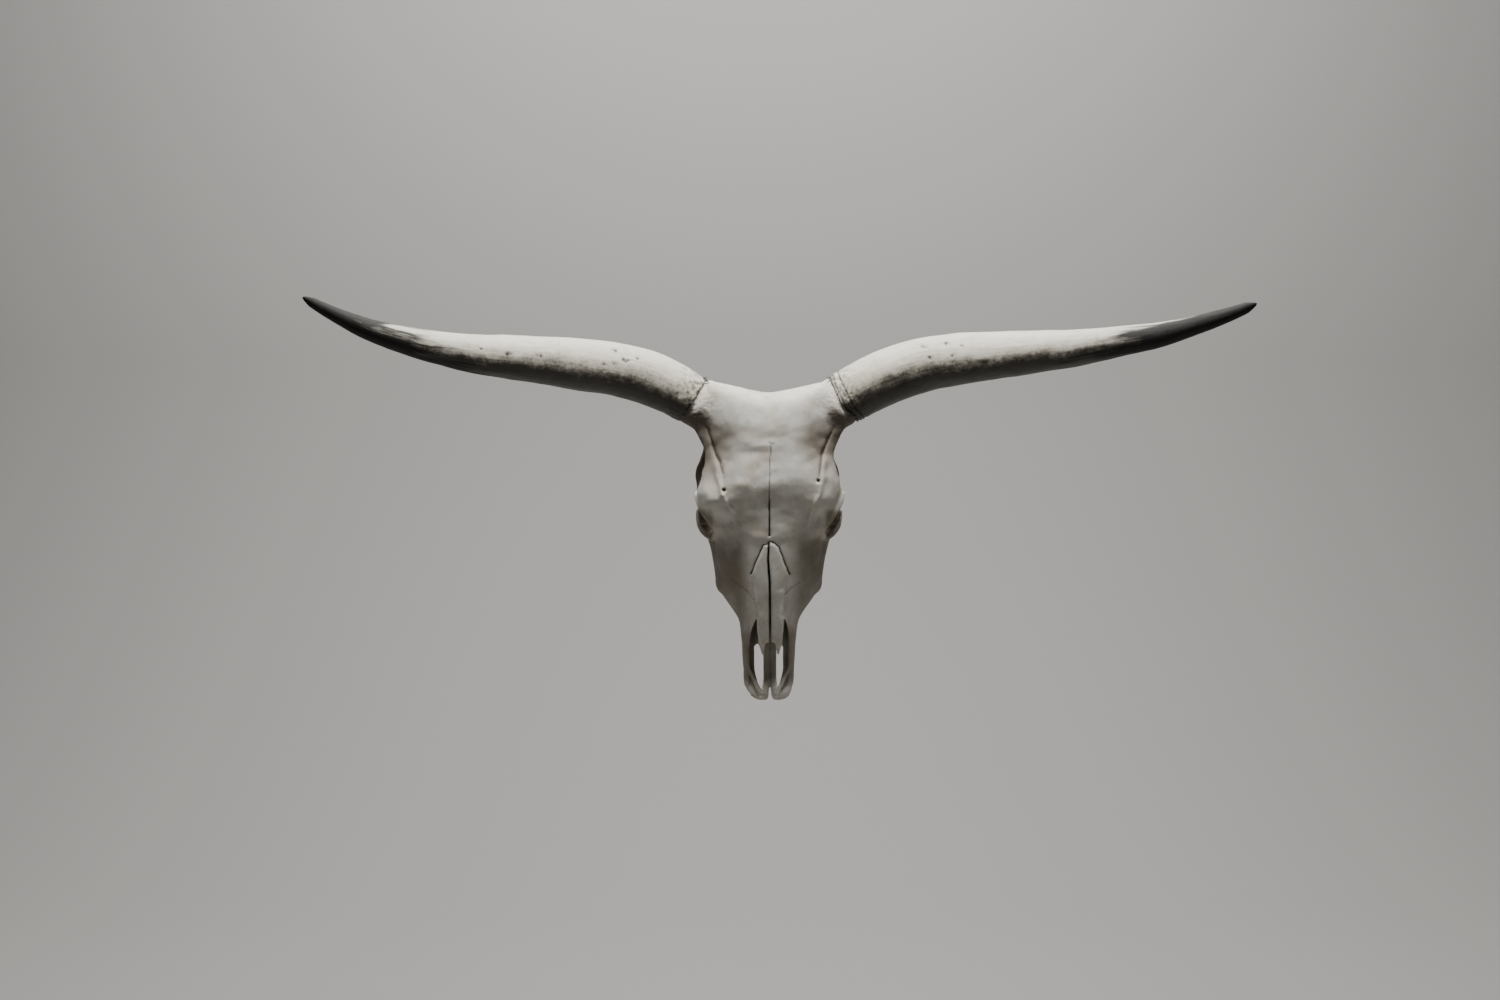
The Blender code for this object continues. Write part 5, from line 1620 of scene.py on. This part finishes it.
    def dirt(self, piece: bpy.types.Object, horns: list[HornSheath], hollow: BoneField) -> None:
        """Keep with the mesh where stains lie and where shade is painted.

        Args:
            piece: The bone.
            horns: The sheaths, beside whose rims dirt clings.
            hollow: The hollows, whose walls are darkened as painted shade.
        """
        mesh = piece.data
        points, normals = vertex_table(mesh)
        front = smooth_step(-normals[:, 1], -0.2, 0.2) * smooth_step(-points[:, 1], 0.085, 0.095)
        store(mesh, "seam", self.seam_at(points, front)[1])
        store(mesh, "crust", self.neck_share(points, horns))
        # The forehead's sides are darkened, partly as stain and partly as painted shade where the bone turns
        # away
        flank_stain_and_shade = smooth_step(np.abs(points[:, 0]), 0.028, 0.064) * smooth_step(points[:, 2], -0.075, -0.045)
        flank_stain_and_shade *= front * smooth_step(-points[:, 2], -0.035, 0.005)
        # The cheeks and the foot of the nose are darkened as painted shade under the brows
        aside = np.abs(points[:, 0] - self.nose_shift)
        cheek = smooth_step(aside, 0.022, 0.044)
        nose_foot = smooth_step(-points[:, 2], 0.250, 0.275) * smooth_step(aside, 0.014, 0.024)
        cheek = np.maximum(cheek, nose_foot)
        cheek *= smooth_step(-points[:, 2], 0.105, 0.165) * smooth_step(points[:, 2], -0.350, -0.330)
        # Down-facing bone at the sides, below the horn roots, is darkened as painted shade
        neck_underside_shade = smooth_step(-normals[:, 2], -0.15, 0.40) * smooth_step(np.abs(points[:, 0]), 0.060, 0.080)
        neck_underside_shade *= smooth_step(points[:, 2], -0.075, -0.045)
        # The orbit's lower outer part and the cheek bone beyond it are darkened as painted shade under the
        # brow
        hook = smooth_step(np.abs(points[:, 0]), 0.070, 0.078) * smooth_step(-points[:, 2], 0.098, 0.108)
        store(mesh, "flank_stain_and_shade", np.max((flank_stain_and_shade, neck_underside_shade, cheek, hook), axis=0))
        store(mesh, "neck_underside_shade", neck_underside_shade * smooth_step(-normals[:, 2], -0.10, 0.65))
        # The walls of the eye sockets and nose, and the arch under each horn, are darkened as painted shade;
        # the malar hook and front faces stay lighter
        clean = BoneField(*self.room, self.hollow_voxel, self.reach)
        for side in Side:
            clean.join(bar(self.malar_hook, side.value), self.hollow_voxel)
        inner = 1.0 - smooth_step(hollow.sample(points), -0.0010, 0.0015)
        inner *= smooth_step(clean.sample(points), 0.0008, 0.0030)
        inner *= smooth_step(points[:, 2], -0.298, -0.258)
        store(mesh, "inner", inner * (1.0 - 0.7 * front * smooth_step(-points[:, 1], 0.112, 0.122)))
        # Concave spots, found by smoothing the mesh, are darkened as painted shade
        ends = np.empty(len(mesh.edges) * 2, np.int32)
        mesh.edges.foreach_get("vertices", ends)
        ends = ends.reshape(-1, 2)
        links = np.bincount(ends.ravel(), minlength=len(points))[:, None]
        smooth = points
        for _ in range(self.crease_steps):
            total = np.zeros_like(points)
            for mine, other in (ends.T, ends.T[::-1]):
                for axis in range(3):
                    total[:, axis] += np.bincount(mine, smooth[other, axis], len(points))
            smooth = total / links
        rise = np.einsum("ij,ij->i", smooth - points, normals)
        store(mesh, "crease", smooth_step(rise, 0.00015, 0.0008))

    def build(self, horns: list[HornSheath], sockets: list[Solid], finish: BleachedBone) -> bpy.types.Object:
        """Grow, carve and weather the skull, and put it in its place.

        Args:
            horns: The sheaths that its cores fill.
            sockets: The solids that its tooth sockets leave free.
            finish: The bone's finish.

        Returns:
            The piece.
        """
        bone = BoneField(*self.room, self.voxel, self.reach)
        hollow = BoneField(*self.room, self.hollow_voxel, self.reach)
        self.grow_masses(bone)
        for solid, blend in self.hollows():
            bone.cut(solid, blend)
            hollow.join(solid, self.hollow_voxel)
        # The arch in each horn's shadow joins the hollows, whose walls are darkened as painted shade
        for side in Side:
            hollow.join(ball(*self.arch_shadow, side.value), self.hollow_voxel)
        mirrored = tuple((2 * self.nose_shift - x, z, half) for x, z, half in self.notch)
        for rows in (self.notch, mirrored, self.nasal_end):
            bone.cut_slit(rows, self.notch_depths)
        self.add_slender_bones(bone)
        self.add_nose(bone)
        bone.raise_front(self.front_heights(bone.axis(0)[:, None], bone.axis(2)[None, :]), *self.front_fade)
        self.fit_horns(bone, horns)
        self.cut_fittings(bone, sockets)
        piece = mesh_object("skull_bone", *bone.skin())
        drop_loose_parts(piece.data)
        points, normals = vertex_table(piece.data)
        points += normals * self.relief(points, normals, horns)[:, None]
        piece.data.vertices.foreach_set("co", points.ravel())
        piece.data.update()
        count = 2 * len(piece.data.polygons)
        if count > self.triangles:
            facets = piece.modifiers.new("facets", "DECIMATE")
            facets.ratio = self.triangles / count
            piece = evaluated_copy(piece, "skull_bone")
        self.dirt(piece, horns, hollow)
        settle(piece, "bone", finish.make(), "skull")
        return piece


def drop_loose_parts(mesh: bpy.types.Mesh) -> None:
    """Keep only the largest connected part of a mesh."""
    shape = bmesh.new()
    shape.from_mesh(mesh)
    shape.verts.ensure_lookup_table()
    label = [-1] * len(shape.verts)
    sizes: list[int] = []
    for start in shape.verts:
        if label[start.index] >= 0:
            continue
        number = len(sizes)
        label[start.index] = number
        waiting, count = [start], 0
        while waiting:
            vert = waiting.pop()
            count += 1
            for edge in vert.link_edges:
                other = edge.other_vert(vert)
                if label[other.index] < 0:
                    label[other.index] = number
                    waiting.append(other)
        sizes.append(count)
    keep = sizes.index(max(sizes))
    loose = [vert for vert in shape.verts if label[vert.index] != keep]
    bmesh.ops.delete(shape, geom=loose, context="VERTS")
    shape.to_mesh(mesh)
    shape.free()


# The teeth


@dataclass
class CheekTeeth:
    """The twelve upper cheek teeth, each with a fluted outer wall and a worn, pitted crown."""

    teeth: tuple[tuple[str, float, float, float], ...] = (
        ("premolar_1", -0.2300, 0.0150, 0.0120),
        ("premolar_2", -0.2130, 0.0165, 0.0145),
        ("premolar_3", -0.1955, 0.0165, 0.0160),
        ("molar_1", -0.1755, 0.0210, 0.0180),
        ("molar_2", -0.1520, 0.0235, 0.0190),
        ("molar_3", -0.1270, 0.0235, 0.0180))
    row_z: Row = (-0.230, -0.175, -0.127)
    row_x: Row = (0.0435, 0.0500, 0.0510)
    root_depth: float = 0.0330
    neck_depth: float = 0.0250
    crown_depth: float = 0.0082
    squareness: float = 3.4
    sides: int = 96
    crown_rings: int = 12
    flutes: float = 0.13
    pit_bend: float = 0.0016
    pit_half: float = 0.0018
    pit_depth: float = 0.0016
    cusp_rise: float = 0.0011
    worn_dip: float = 0.0012

    def centre(self, side: float, z: float) -> float:
        """Where a tooth stands across the skull."""
        return side * float(np.interp(z, self.row_z, self.row_x))

    def outline(self, side: float, length: float, width: float, flutes: float) -> np.ndarray:
        """A tooth's section as (x, z) rows, with ribs on its outer wall.

        Args:
            side: -1 for the left row, 1 for the right.
            length: Length along the row.
            width: Width across it.
            flutes: Height of the ribs as a share of the width.

        Returns:
            The section's points.
        """
        angle = np.arange(self.sides) * math.tau / self.sides
        across = np.copysign(np.abs(np.cos(angle)) ** (2 / self.squareness), np.cos(angle))
        along = np.copysign(np.abs(np.sin(angle)) ** (2 / self.squareness), np.sin(angle))
        outer = smooth_step(across, 0.2, 0.8)
        inner = smooth_step(-across, 0.2, 0.8)
        ribs = outer * np.cos(along * math.pi * 2.0) - inner * np.cos(along * math.pi * 2.0) * 0.8
        across = across - across * flutes * (1.0 - ribs) / 2
        return np.stack((side * across * width / 2, along * length / 2), axis=1)

    def socket(self, side: float, row: tuple[str, float, float, float]) -> Solid:
        """The space that the jaw leaves free for a tooth."""
        _, z, length, width = row
        rings = []
        for depth, share in ((self.root_depth + 0.0005, 0.66), (self.neck_depth, 0.94), (-0.0200, 1.03)):
            outline = self.outline(side, length, width, 0.0) * share
            rings.append([at(self.centre(side, z) + x, depth, z + dz) for x, dz in outline])
        return Solid.from_rings(np.array(rings))

    def build_one(self, side: Side, row: tuple[str, float, float, float],
                  material: bpy.types.Material) -> bpy.types.Object:
        """Make one tooth.

        Args:
            side: The side of the jaw.
            row: Its name, place, length and width.
            material: Its finish.

        Returns:
            The piece.
        """
        name, z, length, width = row
        x = self.centre(side.value, z)
        lobes = 1 if name.startswith("premolar") else 2
        rings, hollow = [], []
        walls = ((self.root_depth, 0.62, 0.0), (self.neck_depth, 0.90, 0.04), (0.0180, 0.96, 0.10),
                 (0.0130, 0.99, self.flutes), (self.crown_depth + 0.0008, 0.99, self.flutes))
        for depth, share, flutes in walls:
            outline = self.outline(side.value, length, width, flutes) * share
            rings.append([at(x + dx, depth, z + dz) for dx, dz in outline])
            hollow.append(np.full(self.sides, 0.0))
        outline = self.outline(side.value, length, width, self.flutes)
        for step in range(self.crown_rings):
            share = 0.97 * (1.0 - step / self.crown_rings)
            places = outline * share
            pit = np.zeros(self.sides)
            for lobe in range(lobes):
                middle = (lobe - (lobes - 1) / 2) * length / 2
                bend = self.pit_bend * np.cos((places[:, 1] - middle) / length * 9.0)
                away = np.hypot((places[:, 0] + side.value * bend) / 0.9, (places[:, 1] - middle) / 1.6)
                pit = np.maximum(pit, np.exp(-(away / self.pit_half) ** 2))
            crest = self.cusp_rise * np.cos(places[:, 1] / length * math.tau * lobes)
            dip = self.worn_dip * smooth_step(np.full(self.sides, 1.0 - share), 0.03, 0.2)
            depth = self.crown_depth + dip - crest * smooth_step(
                np.full(self.sides, 1.0 - share), 0.0, 0.3) + self.pit_depth * pit
            rings.append([at(x + dx, d, z + dz) for (dx, dz), d in zip(places, depth)])
            hollow.append(pit)
        solid = Solid.from_rings(np.array(rings))
        piece = mesh_object(f"{name}_{side.word}_crown", solid.points,
                            solid.quads.tolist() + solid.caps.tolist())
        face_outward(piece.data)
        store(piece.data, "hollow", np.concatenate(hollow + [np.zeros(2)]))
        settle(piece, "tooth", material, f"{name}_{side.word}")
        return piece

    def sockets(self) -> list[Solid]:
        """The spaces for all twelve teeth."""
        return [self.socket(side.value, row) for side in Side for row in self.teeth]

    def build(self, finish: StainedEnamel) -> list[bpy.types.Object]:
        """Make all twelve teeth."""
        material = finish.make()
        return [self.build_one(side, row, material) for side in Side for row in self.teeth]


# The hanger and the studio


@dataclass
class WallHanger:
    """The stepped strip and its two screws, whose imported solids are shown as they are."""

    nodes: tuple[str, ...] = ("hanger", "hanger_screw_upper", "hanger_screw_lower")

    def dress(self, finish: GalvanisedSteel) -> None:
        """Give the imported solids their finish."""
        material = finish.make()
        for name in self.nodes:
            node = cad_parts[name]
            node.data.materials.clear()
            node.data.materials.append(material)
            LOG.info("%s: packed solid, galvanised", name)


@dataclass
class Studio:
    """A pale floor that curves up into a backdrop, soft lamps and the photograph's camera."""

    camera_place: Row = (-0.0255, -2.33, -0.0905)
    focal_share: float = 1664 / 1500
    sensor: float = 36.0
    floor_z: float = -1.45
    half_width: float = 9.0
    front: float = -7.0
    back: float = 5.0
    bend: float = 2.0
    height: float = 7.0
    bend_steps: int = 24
    backdrop: str = "B9B7B3"
    backdrop_roughness: float = 0.95
    air: str = "E8E8E8"
    air_strength: float = 0.004
    lamps: tuple[tuple[str, Row, Row, float, float], ...] = (
        ("lamp_top_left", (-0.22, -0.55, 0.83), (0.0, -0.15, -0.05), 0.25, 7.6),
        ("lamp_top_right", (0.22, -0.55, 0.83), (0.0, -0.15, -0.05), 0.25, 8.0),
        ("lamp_front", (0.0, -4.5, 0.2), (0.0, 0.0, -0.1), 3.0, 0.3),
        ("lamp_back", (0.6, 3.2, 2.2), (0.0, 0.0, 0.0), 2.5, 8.0),
        ("lamp_backdrop", (0.0, 1.6, 4.0), (0.0, 4.8, 0.0), 4.0, 330.0))

    def build_floor(self) -> bpy.types.Object:
        """The floor and backdrop as one bent sheet."""
        profile = [(self.front, self.floor_z), (self.back - self.bend, self.floor_z)]
        for step in range(1, self.bend_steps + 1):
            angle = math.pi / 2 * step / self.bend_steps
            profile.append((self.back - self.bend + self.bend * math.sin(angle),
                            self.floor_z + self.bend * (1 - math.cos(angle))))
        profile.append((self.back, self.height))
        points = [(x, y, z) for y, z in profile for x in (-self.half_width, self.half_width)]
        faces = [(2 * row, 2 * row + 1, 2 * row + 3, 2 * row + 2) for row in range(len(profile) - 1)]
        sheet = mesh_object("backdrop", np.array(points), faces)
        material = bpy.data.materials.new("backdrop_paper")
        material.use_nodes = True
        shader = material.node_tree.nodes["Principled BSDF"]
        shader.inputs["Base Color"].default_value = linear(self.backdrop)
        shader.inputs["Roughness"].default_value = self.backdrop_roughness
        sheet.data.materials.append(material)
        return sheet

    def add_lamp(self, name: str, place: Row, target: Row, size: float, power: float) -> None:
        """One square soft lamp aimed at a point."""
        lamp = bpy.data.lights.new(name, "AREA")
        lamp.size = size
        lamp.energy = power
        made = bpy.data.objects.new(name, lamp)
        made.location = place
        made.rotation_euler = (Vector(target) - Vector(place)).to_track_quat("-Z", "Y").to_euler()
        bpy.context.scene.collection.objects.link(made)

    def build(self) -> None:
        """The floor, the light and the camera."""
        self.build_floor()
        for lamp in self.lamps:
            self.add_lamp(*lamp)
        world = bpy.data.worlds.new("soft_room")
        world.use_nodes = True
        background = world.node_tree.nodes["Background"]
        background.inputs["Color"].default_value = linear(self.air)
        background.inputs["Strength"].default_value = self.air_strength
        bpy.context.scene.world = world
        lens = bpy.data.cameras.new("camera")
        lens.sensor_width = self.sensor
        lens.lens = self.sensor * self.focal_share
        camera = bpy.data.objects.new("camera", lens)
        camera.location = self.camera_place
        camera.rotation_euler = (math.pi / 2, 0.0, 0.0)
        bpy.context.scene.collection.objects.link(camera)
        bpy.context.scene.camera = camera


LEFT_LINE: Rows = (
    (-0.1035, 0.125, 0.0425, 0.033),
    (-0.13, 0.132, 0.0575, 0.035),
    (-0.1635, 0.142, 0.0712, 0.0355),
    (-0.204, 0.157, 0.0806, 0.0346),
    (-0.243, 0.176, 0.0845, 0.0333),
    (-0.282, 0.198, 0.0875, 0.0311),
    (-0.329, 0.227, 0.0903, 0.0279),
    (-0.375, 0.256, 0.0928, 0.0238),
    (-0.426, 0.286, 0.0998, 0.0187),
    (-0.468, 0.31, 0.11, 0.0149),
    (-0.5, 0.326, 0.1213, 0.0116),
    (-0.532, 0.34, 0.1365, 0.008),
    (-0.558, 0.351, 0.151, 0.0048))
RIGHT_LINE: Rows = (
    (0.0985, 0.1235, 0.0428, 0.0352),
    (0.125, 0.13, 0.058, 0.0362),
    (0.158, 0.14, 0.0732, 0.0362),
    (0.2, 0.155, 0.0855, 0.035),
    (0.24, 0.175, 0.0912, 0.0335),
    (0.285, 0.2, 0.094, 0.0306),
    (0.329, 0.227, 0.0958, 0.0272),
    (0.38, 0.259, 0.0985, 0.0228),
    (0.429, 0.289, 0.104, 0.0185),
    (0.472, 0.311, 0.1101, 0.0152),
    (0.508, 0.329, 0.119, 0.0118),
    (0.546, 0.346, 0.1308, 0.0087),
    (0.5755, 0.358, 0.1425, 0.0052))


LEFT_PITS: Rows = (
    (-0.1991, 0.1024, 0.002), (-0.1888, 0.0895, 0.0022), (-0.184, 0.088, 0.0016),
    (-0.1708, 0.0921, 0.0015), (-0.2, 0.085, 0.0018), (-0.212, 0.083, 0.0018),
    (-0.3269, 0.0916, 0.002), (-0.2899, 0.0904, 0.0016), (-0.36, 0.096, 0.0014))
RIGHT_PITS: Rows = (
    (0.1972, 0.1079, 0.0024), (0.2248, 0.11, 0.0018), (0.2325, 0.0934, 0.0014),
    (0.206, 0.093, 0.0018), (0.1738, 0.06, 0.0018), (0.243, 0.106, 0.0014))


def main() -> None:
    """Build the skull's pieces in order and the studio round them."""
    logging.basicConfig(level=logging.INFO, format="%(message)s")
    left = HornSheath(Side.LEFT, LEFT_LINE, 3, 0.0, (0.005, 0.014), LEFT_PITS, 0.16, crust=0.0042,
                      ragged=0.0140)
    right = HornSheath(Side.RIGHT, RIGHT_LINE, 8, 0.0016, (0.004, 0.013), RIGHT_PITS, 0.05)
    left.build(WeatheredHorn(tip_solid=0.112, tip_fade=0.190))
    right.build(WeatheredHorn(tip_solid=0.126, tip_fade=0.205))
    teeth = CheekTeeth()
    SkullBone().build([left, right], teeth.sockets(), BleachedBone())
    teeth.build(StainedEnamel())
    WallHanger().dress(GalvanisedSteel())
    Studio().build()


if __name__ == "__main__":
    main()
